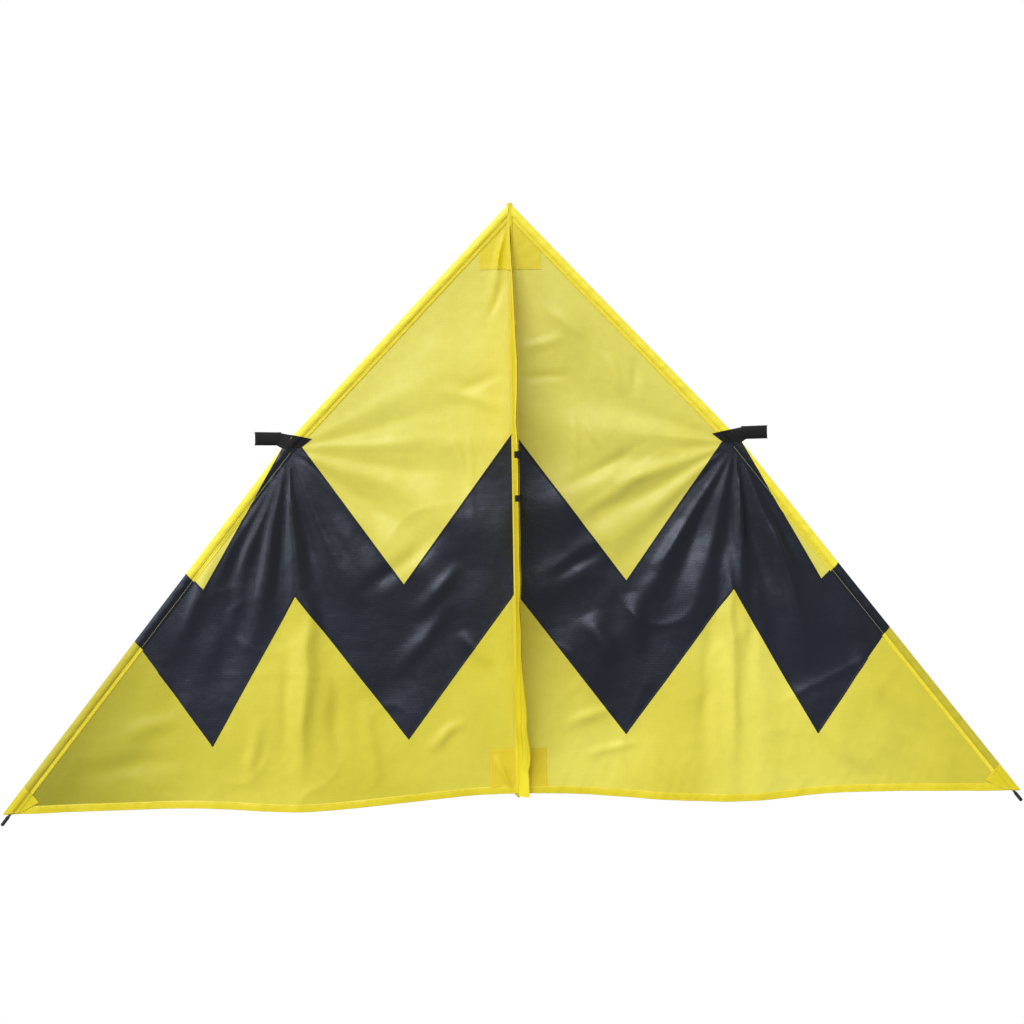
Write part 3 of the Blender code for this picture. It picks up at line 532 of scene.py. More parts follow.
def solid(name, main, pale, roughness, metal=0.0, grain=(1.0, 1.0, 1.0), scale=300.0):
    """Rods, ferrules, caps and thread: a fine grain, stretched along by uneven grain values."""
    material, shader, wire = start_finish(name)
    spot = wire.node("ShaderNodeTexCoord").other("Object")
    spot = wire.node("ShaderNodeMapping", None, {"Vector": spot, "Scale": grain})
    speck = wire.node("ShaderNodeTexNoise", None, {"Vector": spot, "Scale": scale, "Detail": 3.0})
    tone = speck.step(0.3, 0.7).blend_colours(main, pale)
    dress(shader, tone, speck * 0.2 + (roughness - 0.1), speck, 0.4, 0.0001)
    shader.inputs["Metallic"].default_value = metal
    return material


WEBBING = woven("black webbing", colour(8, 8, 10), colour(18, 18, 21), 0.010)
YELLOW_THREAD = solid("yellow thread", colour(228, 206, 60), colour(240, 222, 90), 0.6, scale=2000.0)
DARK_THREAD = solid("dark thread", colour(22, 23, 28), colour(40, 42, 50), 0.6, scale=2000.0)
BLACK_THREAD = solid("black thread", colour(8, 8, 10), colour(16, 16, 19), 0.7, scale=2000.0)
PALE_THREAD = solid("pale thread", colour(150, 148, 96), colour(176, 172, 116), 0.6, scale=2000.0)
FIBREGLASS = solid("fibreglass rod", colour(24, 24, 27), colour(46, 46, 50), 0.32,
                   grain=(0.3, 1.0, 1.0), scale=500.0)
ALUMINIUM = solid("brushed aluminium", colour(176, 178, 182), colour(204, 206, 210), 0.34, metal=1.0,
                  grain=(1.0, 0.1, 1.0), scale=900.0)
VINYL = solid("black vinyl", colour(20, 20, 22), colour(34, 34, 37), 0.5, scale=700.0)

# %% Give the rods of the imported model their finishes
for node_name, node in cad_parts.items():
    finish = None
    if "ferrule" in node_name:
        finish = ALUMINIUM
    elif "spar_upper" in node_name or "spar_lower" in node_name or "rod" in node_name:
        finish = FIBREGLASS
    elif node_name.endswith("_cap"):
        finish = VINYL
    if finish:
        node.data.materials.clear()
        node.data.materials.append(finish)

# %% [markdown]
# ## The wings' panels
#
# Each wing is sewn from four cuts: two yellow ones above the dark zigzag band, the band and the
# long yellow one below it. They could be drawn one by one, but then their edges would have to be
# matched. Here one grid covers the whole wing, `bisect_plane` cuts it along the leading edge and
# along every seam, and each panel keeps the faces on its own side of the seams.

# %% Which panel a place belongs to
def seam_depth(seam, x):
    """Depth of a zigzag seam at x; its last run goes on straight."""
    for first, second in zip(seam, seam[1:]):
        if x <= second.x or second is seam[-1]:
            return first.y + (second.y - first.y) * (x - first.x) / (second.x - first.x)


def panel_at(x, depth):
    if depth < seam_depth(UPPER_SEAM, x):
        return "nose" if x < STRAP_PLACE.x else "shoulder"
    return "zigzag" if depth < seam_depth(LOWER_SEAM, x) else "tail"

# %% Cut one wing into its panels
def wing_cloth():
    """A flat grid over one wing, in (x, depth), cut along the leading edge and all the seams."""
    mesh = bmesh.new()
    columns, rows = round(WING_TIP.x / CELL), round(WING_TIP.y / CELL)

    def lay(u, v):
        x = WING_TIP.x * u
        return Vector((x, (trailing_depth(x) - 0.002) * v, 0.0)), (0.0, 0.0)

    lay_grid(mesh, columns, rows, lay)
    under_sleeve = 0.0190
    for along in (UPPER_ALONG, LOWER_ALONG):
        outwards = Vector((along.y, -along.x, 0.0))
        split(mesh, BEND.to_3d() - outwards * under_sleeve, outwards, clear=True)
    for seam in (UPPER_SEAM, LOWER_SEAM):
        for first, second in zip(seam, seam[1:]):
            run = (second - first).normalized()
            split(mesh, first.to_3d(), (run.y, -run.x, 0.0), near=2e-4)
    return mesh


def cut_size(spots, along):
    """Width and length of a cut, measured across and along a direction."""
    across = Vector((along.y, -along.x))
    sizes = []
    for axis in (across, along):
        reach = [spot.dot(axis) for spot in spots]
        sizes.append(max(reach) - min(reach))
    return tuple(sizes)


PANELS = {"nose": (YELLOW, "yellow_ripstop"), "shoulder": (YELLOW, "yellow_ripstop"),
          "zigzag": (DARK, "dark_ripstop"), "tail": (YELLOW_LEFT_SHADED, "yellow_ripstop")}
wing_pieces = {}
for side_name, side in SIDES:
    wing = wing_cloth()
    for panel, (finish, slot) in PANELS.items():
        if finish is YELLOW_LEFT_SHADED and side_name == "right":
            finish = YELLOW_RIGHT_SHADED
        mesh = wing.copy()
        spare = [face for face in mesh.faces
                 if panel_at(*face.calc_center_median().xy) != panel]
        bmesh.ops.delete(mesh, geom=spare, context="FACES")
        area = sum(face.calc_area() for face in mesh.faces)
        spots = [corner.co.xy for corner in mesh.verts]
        threads = mesh.loops.layers.uv["cloth"]
        for face in mesh.faces:
            for loop in face.loops:
                loop[threads].uv = loop.vert.co.xy
        for corner in mesh.verts:
            corner.co = cloth_place(side, *corner.co.xy)
        bmesh.ops.solidify(mesh, geom=mesh.faces, thickness=CLOTH)
        bend = from_spine(side_name, side) if min(spot.x for spot in spots) < HINGE_X else None
        piece = make_piece(f"{side_name}_{panel}_cloth", mesh, finish, slot,
                           [f"{side_name}_{panel}_panel"], f"{side_name}_wing", bend)
        flat = cut_size(spots, LOWER_ALONG if panel == "shoulder" else Vector((0.0, 1.0)))
        wing_pieces[side_name, panel] = piece, flat, area
        print(piece.name, len(piece.data.polygons), "faces, flat", [round(f, 3) for f in flat],
              "m, area", round(area, 4), "m2")
    wing.free()

# %% [markdown]
# ## Sleeves, hems and seams
#
# A leading edge sleeve is the sail's own edge folded round the spar and stitched down: a round
# part with the spar in it, then a flat strip of several layers. Swept along the edge, its
# section is a closed loop of (inset, height) points. The same sweep makes the flat trailing
# hem and the felled seams of the band, each with its own section.

# %% Sections, as (inset from the path, height over the cloth)
SLEEVE_TOP = ((0.0, 0.0), (0.0006, 0.0022), (0.0035, 0.0038), (0.0080, 0.0045), (0.0120, 0.0044),
              (0.0146, 0.0030), (0.0163, 0.0013), (0.0190, 0.0011), (0.0225, 0.0010),
              (SLEEVE_WIDTH, 0.0004))
SLEEVE_UNDER = ((0.0225, -0.0003), (0.0163, -0.0010), (0.0146, -0.0030), (0.0115, -0.0042),
                (0.0070, -0.0042), (0.0025, -0.0034), (0.0006, -0.0020), (0.0, 0.0))
HEM_SECTION = ((0.0, 0.0), (0.0003, 0.0006), (0.0020, 0.0009), (0.0075, 0.0007), (0.0140, 0.0009),
               (HEM_WIDTH, 0.0003), (0.0140, -0.0006), (0.0075, -0.0006), (0.0020, -0.0007),
               (0.0003, -0.0005), (0.0, 0.0))
SEAM_SECTION = ((-0.0010, 0.0), (-0.0007, 0.0005), (0.0004, 0.0008), (0.0022, 0.0007), (0.0030, 0.0),
                (0.0022, -0.0006), (0.0004, -0.0006), (-0.0010, 0.0))


def sleeve_rise(gap):
    """Height of a sleeve's upper side over the cloth, so far in from the leading edge."""
    if not 0 <= gap < SLEEVE_WIDTH:
        return 0.0
    for (g0, h0), (g1, h1) in zip(SLEEVE_TOP, SLEEVE_TOP[1:]):
        if gap <= g1:
            return h0 + (h1 - h0) * (gap - g0) / (g1 - g0)
    return 0.0


def sweep(mesh, side, route, length, section, pucker=0.0):
    """Lays a section along a route on the sail. route(distance, inset) gives (x, depth)."""
    columns = max(1, round(length / CELL))

    def lay(u, v):
        inset, height = section[round(v * (len(section) - 1))]
        x, depth = route(u * length, inset)
        wrinkle = pucker * ripple(u * length + inset * 0.8, inset * 0.5, 0.011, 5.1 * side)
        return cloth_place(side, x, depth, height * (1 + wrinkle)), (u * length, inset)

    lay_grid(mesh, columns, len(section) - 1, lay)
    close_ends(mesh)

# %% Leading edge sleeves
def edge_inset(distance, inset):
    """So far along the leading edge and in from it; the turn at the bend is eased."""
    turn = smooth(EDGE_BEND - 0.012, EDGE_BEND + 0.012, distance)
    along = UPPER_ALONG.lerp(LOWER_ALONG, turn).normalized()
    return edge_place(distance) + Vector((-along.y, along.x)) * inset


def edge_run(start, first_lean=0.0, last_lean=0.0, length=1.0):
    """A route from start along the leading edge, whose ends may lean with a seam."""
    def route(distance, inset):
        lean = first_lean + (last_lean - first_lean) * distance / length
        return edge_inset(start + distance + inset * lean, inset)
    return route


def cut_band_colour(mesh, side):
    """The band's dark cloth reaches over the sleeve below the strap, along the band's outer seam."""
    for first, second in (UPPER_SEAM[1:3], UPPER_SEAM[3:5]):
        start, end = place(side, *first, 0.0), place(side, *second, 0.0)
        run = end - start
        split(mesh, start, (run.y, -run.x, 0), near=1e-5)
    for face in mesh.faces:
        middle = face.calc_center_median()
        if panel_at(abs(middle.x), NOSE_Y - middle.y) == "zigzag":
            face.material_index = 1


BAND_LEAN = 0.20                              # the band's seams cross the sleeve at a slant
SLEEVE_RUNS = (
    ("nose_sleeve", 0.004, EDGE_BEND - 0.001, 0.0, 0.0, SLEEVE_HIGH, "yellow_double"),
    ("shoulder_sleeve", EDGE_BEND - 0.001, UPPER_EDGE, 0.0, BAND_LEAN, SLEEVE_HIGH, "yellow_double"),
    ("zigzag_sleeve", UPPER_EDGE, LOWER_EDGE, BAND_LEAN, BAND_LEAN, DARK, "dark_ripstop"),
    ("tip_sleeve", LOWER_EDGE, EDGE_LENGTH + 0.010, BAND_LEAN, 0.0, SLEEVE_LOW_SHADED, "yellow_double"),
)
for side_name, side in SIDES:
    for name, start, end, first_lean, last_lean, finish, slot in SLEEVE_RUNS:
        mesh = bmesh.new()
        length = end - start
        sweep(mesh, side, edge_run(start, first_lean, last_lean, length), length,
              SLEEVE_TOP + SLEEVE_UNDER, pucker=0.30)
        if name in ("nose_sleeve", "shoulder_sleeve"):
            cut_band_colour(mesh, side)
        if name == "nose_sleeve":
            trim(mesh, (side * 0.0035, 0, 0), (-side, 0, 0))
        if name == "tip_sleeve":
            trim(mesh, place(side, 0.0, WING_TIP.y - 0.0005, 0.0), (0, -1, 0))
        piece = make_piece(f"{side_name}_{name}_cloth", mesh, finish, slot,
                           [f"{side_name}_{name}"], f"{side_name}_wing")
        piece.data.materials.append(DARK)
        wing_pieces[side_name, name] = piece
        print(piece.name, round(length, 3), "m long")

# %% Trailing hems
def trailing_route(distance, inset):
    return distance, trailing_depth(distance) - inset


for side_name, side in SIDES:
    mesh = bmesh.new()
    sweep(mesh, side, trailing_route, WING_TIP.x, HEM_SECTION, pucker=0.7)
    outwards = Vector((side * LOWER_ALONG.y, LOWER_ALONG.x, 0.0))
    trim(mesh, place(side, *WING_TIP, 0.0) - outwards * 0.003, outwards)
    wing_pieces[side_name, "trailing_hem"] = make_piece(
        f"{side_name}_trailing_hem_cloth", mesh, DOUBLE, "yellow_double",
        [f"{side_name}_trailing_hem"], bend=from_spine(side_name, side))

# %% Felled seams of the band, on its dark side
BAND_SEAMS = (("upper", UPPER_SEAM, 1), ("lower", LOWER_SEAM, -1))


def seam_runs(seam, short):
    """The straight runs of a seam. A share of the last one, short, is left out at the sleeve."""
    stops = [*seam[:-1], seam[-1].lerp(seam[-2], short)]
    return zip(stops, stops[1:])


def straight_route(start, end, towards):
    """A straight run between two places; insets go towards smaller (-1) or larger (1) depth."""
    run = (end - start).normalized()
    inwards = Vector((-run.y, run.x)) * towards

    def route(distance, inset):
        return start + run * distance + inwards * inset
    return route


for side_name, side in SIDES:
    for seam_name, seam, towards in BAND_SEAMS:
        mesh = bmesh.new()
        for start, end in seam_runs(seam, 0.30):
            run = bmesh.new()
            sweep(run, side, straight_route(start, end, towards), (end - start).length, SEAM_SECTION)
            part = bpy.data.meshes.new("run")
            run.to_mesh(part)
            run.free()
            mesh.from_mesh(part)
            bpy.data.meshes.remove(part)
        wing_pieces[side_name, seam_name + "_seam"] = make_piece(
            f"{side_name}_{seam_name}_band_seam", mesh, SEAM, "dark_ripstop",
            bend=from_spine(side_name, side))

# %% [markdown]
# ## Patches
#
# The corners that carry the pull are doubled: at the nose, at the tail and at both wing tips.
# A patch is a four-sided cut laid on the cloth, so its grid is stretched between its corners
# and takes the cloth's height plus one layer.

# %% Lay a four-sided patch
def patch_place(side, spot, lift):
    """A place so far over the cloth, and over the sleeve where a patch reaches it."""
    return cloth_place(side, *spot, sleeve_rise(edge_gap(*spot)) + lift)


def patch(mesh, side, corners, lift):
    """A cut between four corners, laid on the wing."""
    first, second, third, fourth = (Vector(corner) for corner in corners)

    def lay(u, v):
        spot = first.lerp(second, u).lerp(fourth.lerp(third, u), v)
        return patch_place(side, spot, lift), tuple(spot)

    lay_grid(mesh, 24, 40, lay)
    bmesh.ops.solidify(mesh, geom=mesh.faces, thickness=CLOTH)


NOSE_PATCH_X, NOSE_PATCH_END = 0.059, 0.130
SLEEVE_INNER = [(x, (UPPER_ALONG.y * x + 0.0205) / UPPER_ALONG.x) for x in (0.0, NOSE_PATCH_X)]
TIP_INNER = WING_TIP - LOWER_ALONG * 0.060 + Vector((-LOWER_ALONG.y, LOWER_ALONG.x)) * 0.042
PATCHES = {
    "nose": [*SLEEVE_INNER, (NOSE_PATCH_X, NOSE_PATCH_END), (0.0, NOSE_PATCH_END)],
    "tail": [(0.0, 1.058), (0.055, 1.058), (0.055, 1.134), (0.0, 1.133)],
    "tip": [WING_TIP - LOWER_ALONG * 0.070, TIP_INNER, (0.9525, 1.1595),
            WING_TIP - Vector((0.001, 0.001))],
}
for side_name, side in SIDES:
    for name, corners in PATCHES.items():
        mesh = bmesh.new()
        patch(mesh, side, corners, 0.0013 if name == "tip" else 0.0008)
        bend = None if name == "tip" else from_spine(side_name, side)
        finish = DOUBLE_LOW_SHADED if name == "tail" else DOUBLE
        wing_pieces[side_name, name + "_patch"] = make_piece(
            f"{side_name}_{name}_patch_cloth", mesh, finish, "yellow_double",
            [f"{side_name}_{name}_patch"], f"{side_name}_wing", bend)
print("patches", sorted(PATCHES))

# %% [markdown]
# ## The spine sleeve
#
# The spine lies in a sleeve under the middle seam. It ends in a round knob at the nose, which
# covers the spine's cap. A closed section is laid along the spine, and it shrinks to a point at
# both ends. Bright tapes cover the seam at the nose and below the band.

# %% Spine sleeve with its knob
SPINE_LOW, SPINE_HIGH = (corner.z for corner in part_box("spine_sleeve"))
SPINE_Z = (SPINE_LOW + SPINE_HIGH) / 2
SPINE_END = NOSE_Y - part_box("spine_tail_cap")[0].y
SLEEVE_END = SPINE_END + 0.0065
KNOB = 0.0062


def spine_section(depth, turn):
    """A place round the spine sleeve: a round knob at the nose, then flatter and wider."""
    flat = smooth(0.008, 0.030, depth)
    wide = KNOB + (0.0075 - KNOB) * flat
    high = KNOB + (0.0040 - KNOB) * flat
    shrink = math.sqrt(max(0.0, 1 - (1 - min(1.0, max(0.0, depth / 0.006))) ** 2))
    shrink *= math.sqrt(max(0.0, min(1.0, (SLEEVE_END - depth) / 0.004)))
    x, z = math.cos(turn), math.sin(turn)
    return Vector((wide * shrink * x * (1 + 0.12 * flat * z * z), NOSE_Y + 0.0015 - depth,
                   SPINE_Z - 0.0003 * flat + high * shrink * z))


mesh = bmesh.new()
lay_grid(mesh, 260, 20, lambda u, v: (
    spine_section(SLEEVE_END * u ** 1.25, -2 * math.pi * v), (u * SPINE_END, v * 0.04)))
bmesh.ops.remove_doubles(mesh, verts=mesh.verts, dist=2e-6)
make_piece("spine_sleeve_cloth", mesh, DOUBLE, "yellow_double", ["spine_sleeve"], "spine")

# %% Tapes over the middle seam
TAPE_RUNS = (("nose_tape", 0.003, 0.131, 0.0058, 0.0020),       # name, start, end, half width, crown
             ("middle_tape", 0.127, 0.766, 0.0036, 0.0004),
             ("tail_tape", 0.762, 1.145, 0.0060, 0.0003))


def lay_tape(start, end, half, crown):
    """A tape along the middle seam, rounded up to its crown between its two edges."""
    def lay(u, v):
        across = 2 * v - 1
        rise = crown * math.sqrt(max(0.0, 1 - across ** 2))
        rise += 0.00012 * ripple(u * 0.4, v * 0.1, 0.006, 2.0)
        spot = Vector((across * half, NOSE_Y - start - (end - start) * u, SAIL_Z + 0.0009 + rise))
        return spot, (u * (end - start), v * 2 * half)
    return lay


for name, start, end, half, crown in TAPE_RUNS:
    mesh = bmesh.new()
    lay_grid(mesh, round((end - start) / CELL), 10, lay_tape(start, end, half, crown))
    bmesh.ops.solidify(mesh, geom=mesh.faces, thickness=0.0003)
    make_piece(name, mesh, DOUBLE, "yellow_double", body="spine")
print("spine sleeve to depth", round(SPINE_END, 3))

# %% [markdown]
# ## The keel
#
# The keel is a fin of double cloth that stands on the middle seam. It is slack near its tail, so
# it bows to one side halfway up and leans to the other at its free edge. Its hem and tow patches
# are laid on the same curved fin by one function.

# %% The shape of the keel
KEEL_FOOT, KEEL_TOP = (corner.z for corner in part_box("keel_hem"))
KEEL_NOSE, KEEL_TAIL = 0.040, 1.150
KEEL_CORNERS = (0.480, 0.600)
KEEL_HEM = 0.013
KEEL_LAYER = 0.0007                           # from the middle of the fin to a layer sewn on it
TOW_PATCH = (0.485, 0.595)                    # first and last depth of the tow patches
SLACK = (0.84, 1.10)                          # the depths of the keel's slack tail


def keel_height(depth):
    """Height of the fin over its foot: two slopes and a short level top."""
    up = (depth - KEEL_NOSE) / (KEEL_CORNERS[0] - KEEL_NOSE)
    down = (KEEL_TAIL - depth) / (KEEL_TAIL - KEEL_CORNERS[1])
    corner = 0.09 * smooth(0.98, 1.06, depth)          # the tail corner is cut off blunt
    return (KEEL_TOP - KEEL_FOOT) * max(0.004, corner, min(1.0, up, down))


def keel_place(depth, share, off=0.0):
    """A place on the fin at a share of its height; off is to the side of the cloth."""
    high = keel_height(depth)
    slack = smooth(0.62, 1.00, depth)
    belly = smooth(0.86, 0.96, depth) * (1 - smooth(1.00, 1.08, depth))
    bow = -(0.018 + 0.11 * belly) * high * math.sin(math.pi * min(1.0, share))
    bow += 0.004 * ripple(depth, share * high, 0.075, 4.0) * min(1.0, high / 0.1) * share
    held = smooth(0.42, 0.48, depth) * (1 - smooth(0.60, 0.66, depth)) * smooth(0.7, 1.0, share)
    lean = 0.05 * slack + 0.27 * smooth(0.84, 1.08, depth) + 0.70 * smooth(1.00, 1.13, depth)
    lean += 0.03 * smooth(0.08, 0.16, depth) * (1 - smooth(0.34, 0.42, depth))
    lean *= high * share * share
    return Vector((bow * (1 - held) + lean + off, NOSE_Y - depth, KEEL_FOOT - 0.0008 + high * share))


# The keel's bend: the keel's and the spine's names, and two places at the depths of its slack tail
KEEL_BEND = ("keel", "spine", *((0.0, NOSE_Y - depth, KEEL_FOOT) for depth in SLACK))

# %% Keel cloth, its hem and its tow patches
def keel_cut(name, start, end, low_of, high_of, thickness, rows, replaced, lift=0.0):
    """A cut of cloth on the fin between two depths; low_of and high_of give its shares of height."""
    mesh = bmesh.new()

    def lay(u, v):
        depth = start + (end - start) * u
        low, high = low_of(depth), high_of(depth)
        share = low + (high - low) * v
        return keel_place(depth, share, lift), (depth, share * keel_height(depth))

    lay_grid(mesh, round((end - start) / CELL), rows, lay)
    area = sum(face.calc_area() for face in mesh.faces)
    bmesh.ops.solidify(mesh, geom=mesh.faces, thickness=thickness)
    piece = make_piece(name, mesh, KEEL_FINISH_PAINTED_LIGHT, "yellow_double", replaced, "keel",
                       KEEL_BEND if end > SLACK[0] else None)
    print(name, "area", round(area, 4), "m2")
    return piece, area


def hem_foot(depth):
    return max(0.0, 1 - KEEL_HEM / keel_height(depth))


def tow_patch_foot(depth):
    """The patch is 2 mm high at its ends and 62 mm between its rounded corners."""
    start, end = TOW_PATCH
    deep = smooth(start, start + 0.012, depth) * (1 - smooth(end - 0.012, end, depth))
    return 1 - (KEEL_HEM + 0.060 * deep + 0.002) / keel_height(depth)


keel, keel_area = keel_cut("keel_cloth", KEEL_NOSE, KEEL_TAIL, lambda d: 0.0, lambda d: 0.995,
                           0.0008, 26, ["keel_panel"])
keel_hems = [keel_cut(f"keel_hem_{face}", KEEL_NOSE, KEEL_TAIL, hem_foot, lambda d: 1.0, 0.0005, 3,
                      ["keel_hem"] if face == "left" else [], side * KEEL_LAYER)[0]
             for face, side in SIDES]
tow_patches = [keel_cut(f"{face}_tow_patch_cloth", *TOW_PATCH, tow_patch_foot, hem_foot, 0.0004, 12,
                        [f"{face}_tow_patch"], side * KEEL_LAYER)[0]
               for face, side in SIDES]

# %% [markdown]
# ## Tow loops
#
# A short tape is folded over the keel's edge at each tow point and holds a loop of the same
# tape. Both are a strip of tape laid along a path and given its thickness: the anchor's path is
# an arch, the loop's is a closed teardrop.

# %% Tape along a path that stands across the keel
def tape_strip(mesh, path, middle, width, thickness, closed):
    """Tape along path, points of (x, z) round a middle, as wide as width along the keel."""
    stops = [*path, path[0]] if closed else path
    lengths = [0.0]
    for first, second in zip(stops, stops[1:]):
        lengths.append(lengths[-1] + math.dist(first, second))

    def lay(u, v):
        i = round(u * (len(stops) - 1))
        x, z = stops[i]
        round_edge = 0.0002 * math.sin(math.pi * v)
        return middle + Vector((x, (v - 0.5) * width, z + round_edge)), (lengths[i], v * width)

    lay_grid(mesh, len(stops) - 1, 6, lay)
    if closed:
        bmesh.ops.remove_doubles(mesh, verts=mesh.verts, dist=1e-6)
    bmesh.ops.solidify(mesh, geom=mesh.faces, thickness=thickness)


LOOP_TURNS = 28
ARCH_ROUND = 0.0012
for name in ("upper", "lower"):
    low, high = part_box(f"{name}_tow_loop")
    anchor_low, anchor_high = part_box(f"{name}_loop_anchor")
    centre = Vector((0.0, (low.y + high.y) / 2, 0.0))
    width = high.y - low.y
    leg = anchor_low.z + 0.0006
    side_x, top = anchor_high.x - 0.0006, anchor_high.z - 0.0007
    shoulder = top - ARCH_ROUND
    arch = [(-side_x, leg + (shoulder - leg) * i / 5) for i in range(6)]
    arch += [(-side_x * math.cos(turn), shoulder + ARCH_ROUND * math.sin(turn))
             for turn in (math.pi * i / 8 for i in range(1, 8))]
    arch += [(-x, z) for x, z in arch[5::-1]]
    mesh = bmesh.new()
    tape_strip(mesh, arch, centre, width, 0.0010, closed=False)
    make_piece(f"{name}_anchor_tape", mesh, WEBBING, "webbing", [f"{name}_loop_anchor"], "keel")
    half, tall = (high.x - low.x) / 2 - 0.0006, high.z - low.z - 0.0012
    ring = []
    for i in range(LOOP_TURNS):
        turn = 2 * math.pi * i / LOOP_TURNS
        rise = (1 - math.cos(turn)) / 2
        ring.append((half * math.sin(turn) * (0.45 + 0.55 * smooth(0.0, 0.6, rise)),
                     low.z + 0.0006 + tall * rise))
    mesh = bmesh.new()
    tape_strip(mesh, ring, centre, width * 0.96, 0.0011, closed=True)
    make_piece(f"{name}_tow_loop_tape", mesh, WEBBING, "webbing", [f"{name}_tow_loop"],
               f"{name}_tow_loop")
    print(name, "tow loop", round(2 * half, 4), "m wide")

# %% [markdown]
# ## The straps
#
# A length of webbing is sewn over each leading edge and runs on outwards, where it is folded
# into a pocket for the spreader's end. It is one strip laid along a path: along the pocket's
# underside, round its end, back along the top and up over the sleeve. The pocket's two long
# edges are pinched together.

# %% Path of a strap: its two long edges at each station, as (x, depth)
POCKET_LOW, POCKET_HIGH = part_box("right_spreader_pocket")
POCKET_MIDDLE = (POCKET_LOW.z + POCKET_HIGH.z) / 2
POCKET_HALF = (POCKET_HIGH.z - POCKET_LOW.z) / 2 - 0.0006
POCKET_DEPTHS = (NOSE_Y - POCKET_HIGH.y, NOSE_Y - POCKET_LOW.y)
POCKET_MOUTH, POCKET_END = POCKET_LOW.x, POCKET_HIGH.x
POCKET_TURN = POCKET_END - POCKET_HALF        # where the pocket's round end starts
# Each station: travel along the strap's top, x of its near edge, shift in x to its far edge, and
# how much deeper than the pocket's the two edges lie
STRAP_STATIONS = (
    (0.0, POCKET_TURN, 0.0, 0.0, 0.0),
    (0.36, POCKET_MOUTH + 0.009, 0.0, 0.0010, 0.0006),
    (0.72, 0.4231, 0.0217, 0.0083, 0.0078),
    (1.0, 0.3883, 0.0216, 0.0157, 0.0066),
)
UNDER_SHARE, TURN_SHARE = 0.25, 0.40          # of u: the underside's end and the round end's end


def strap_top(travel, v):
    """Plan place on the strap's upper side, travel 0 at the pocket's end to 1 at the inner tip."""
    for first, second in zip(STRAP_STATIONS, STRAP_STATIONS[1:]):
        if travel <= second[0] or second is STRAP_STATIONS[-1]:
            share = (travel - first[0]) / (second[0] - first[0])
            x, shift, near, far = (a + (b - a) * share for a, b in zip(first[1:], second[1:]))
            edges = Vector((x, POCKET_DEPTHS[0] + near)), Vector((x + shift, POCKET_DEPTHS[1] + far))
            return edges[0].lerp(edges[1], v)


def strap_place(side, u, v):
    """Underside, rounded end and upper side of a strap, u from the mouth to the inner tip."""
    pinch = math.sqrt(max(0.0, 1 - abs(2 * v - 1) ** 2.6))
    depth = POCKET_DEPTHS[0] + (POCKET_DEPTHS[1] - POCKET_DEPTHS[0]) * v
    curl = 0.0012 * (1 - pinch)
    depth += (0.5 - v) * 0.0020 * (1 - smooth(0.20, TURN_SHARE, u))
    if u < UNDER_SHARE:
        x = POCKET_MOUTH + (POCKET_TURN - POCKET_MOUTH) * u / UNDER_SHARE
        return place(side, x, depth, POCKET_MIDDLE - POCKET_HALF * pinch)
    if u < TURN_SHARE:
        angle = math.pi * ((u - UNDER_SHARE) / (TURN_SHARE - UNDER_SHARE) - 0.5)
        x = POCKET_TURN + (POCKET_HALF - 0.0006 + curl) * math.cos(angle)
        return place(side, x, depth, POCKET_MIDDLE + POCKET_HALF * pinch * math.sin(angle))
    spot = strap_top((u - TURN_SHARE) / (1 - TURN_SHARE), v)
    gap = edge_gap(*spot)
    sewn = SAIL_Z + sleeve_rise(max(0.0, gap)) + 0.0012 + (sail_rise(side, *spot) if gap > 0 else 0.0)
    free = POCKET_MIDDLE + POCKET_HALF * pinch
    rise = smooth(-0.013, 0.001, gap)
    return place(side, *spot, free + (sewn - free) * rise)


STRAP_LENGTH, STRAP_WIDTH = 0.21, 0.026
STRAP_BEND = (0.434, 0.449)                   # two places in x, where the wing meets the pocket
for side_name, side in SIDES:
    mesh = bmesh.new()
    lay_grid(mesh, 80, 16, lambda u, v: (strap_place(side, u, v), (u * STRAP_LENGTH, v * STRAP_WIDTH)))
    bmesh.ops.solidify(mesh, geom=mesh.faces, thickness=0.0010)
    bend = (f"{side_name}_wing", f"{side_name}_pocket", *((side * x, 0.0, SAIL_Z) for x in STRAP_BEND))
    make_piece(f"{side_name}_strap_webbing", mesh, WEBBING, "webbing",
               [f"{side_name}_strap_patch", f"{side_name}_spreader_pocket"], bend=bend)
print("pocket", round(POCKET_END - POCKET_MOUTH, 3), "m long")

# %% [markdown]
# ## Stitching
#
# Rows of stitches hold it all together. Each stitch is a tiny bar, laid along its row at the
# height of the cloth beneath. There are thousands of them, so a stitch has only six faces.

# %% Sew a row of stitches
STITCH_LENGTH, STITCH_PITCH, THREAD = 0.0026, 0.0036, 0.0006


def stitch_row(mesh, spots):
    """Bars along a line of places, a pitch apart."""
    travel, due = 0.0, STITCH_PITCH / 2
    for first, second in zip(spots, spots[1:]):
        run = second - first
        while due < travel + run.length:
            spot = first.lerp(second, (due - travel) / run.length)
            turn = run.to_track_quat("X", "Z").to_matrix().to_4x4()
            size = Matrix.Diagonal((STITCH_LENGTH, THREAD, THREAD, 1.0))
            bmesh.ops.create_cube(mesh, size=1.0, matrix=Matrix.Translation(spot) @ turn @ size)
            due += STITCH_PITCH
        travel += run.length


def sewn_line(side, route, length, inset, lift):
    """Places along a route on the sail, at one inset, just over the cloth."""
    count = max(2, round(length / 0.009))
    spots = []
    for i in range(count + 1):
        x, depth = route(length * i / count, inset)
        spots.append(cloth_place(side, x, depth, lift))
    return spots


def sew(name, rows, finish, slot, body=None, bend=None):
    mesh = bmesh.new()
    mesh.loops.layers.uv.new("cloth")
    for spots in rows:
        stitch_row(mesh, spots)
    piece = make_piece(name, mesh, finish, slot, body=body, bend=bend)
    print(name, len(piece.data.polygons) // 6, "stitches")
    return piece


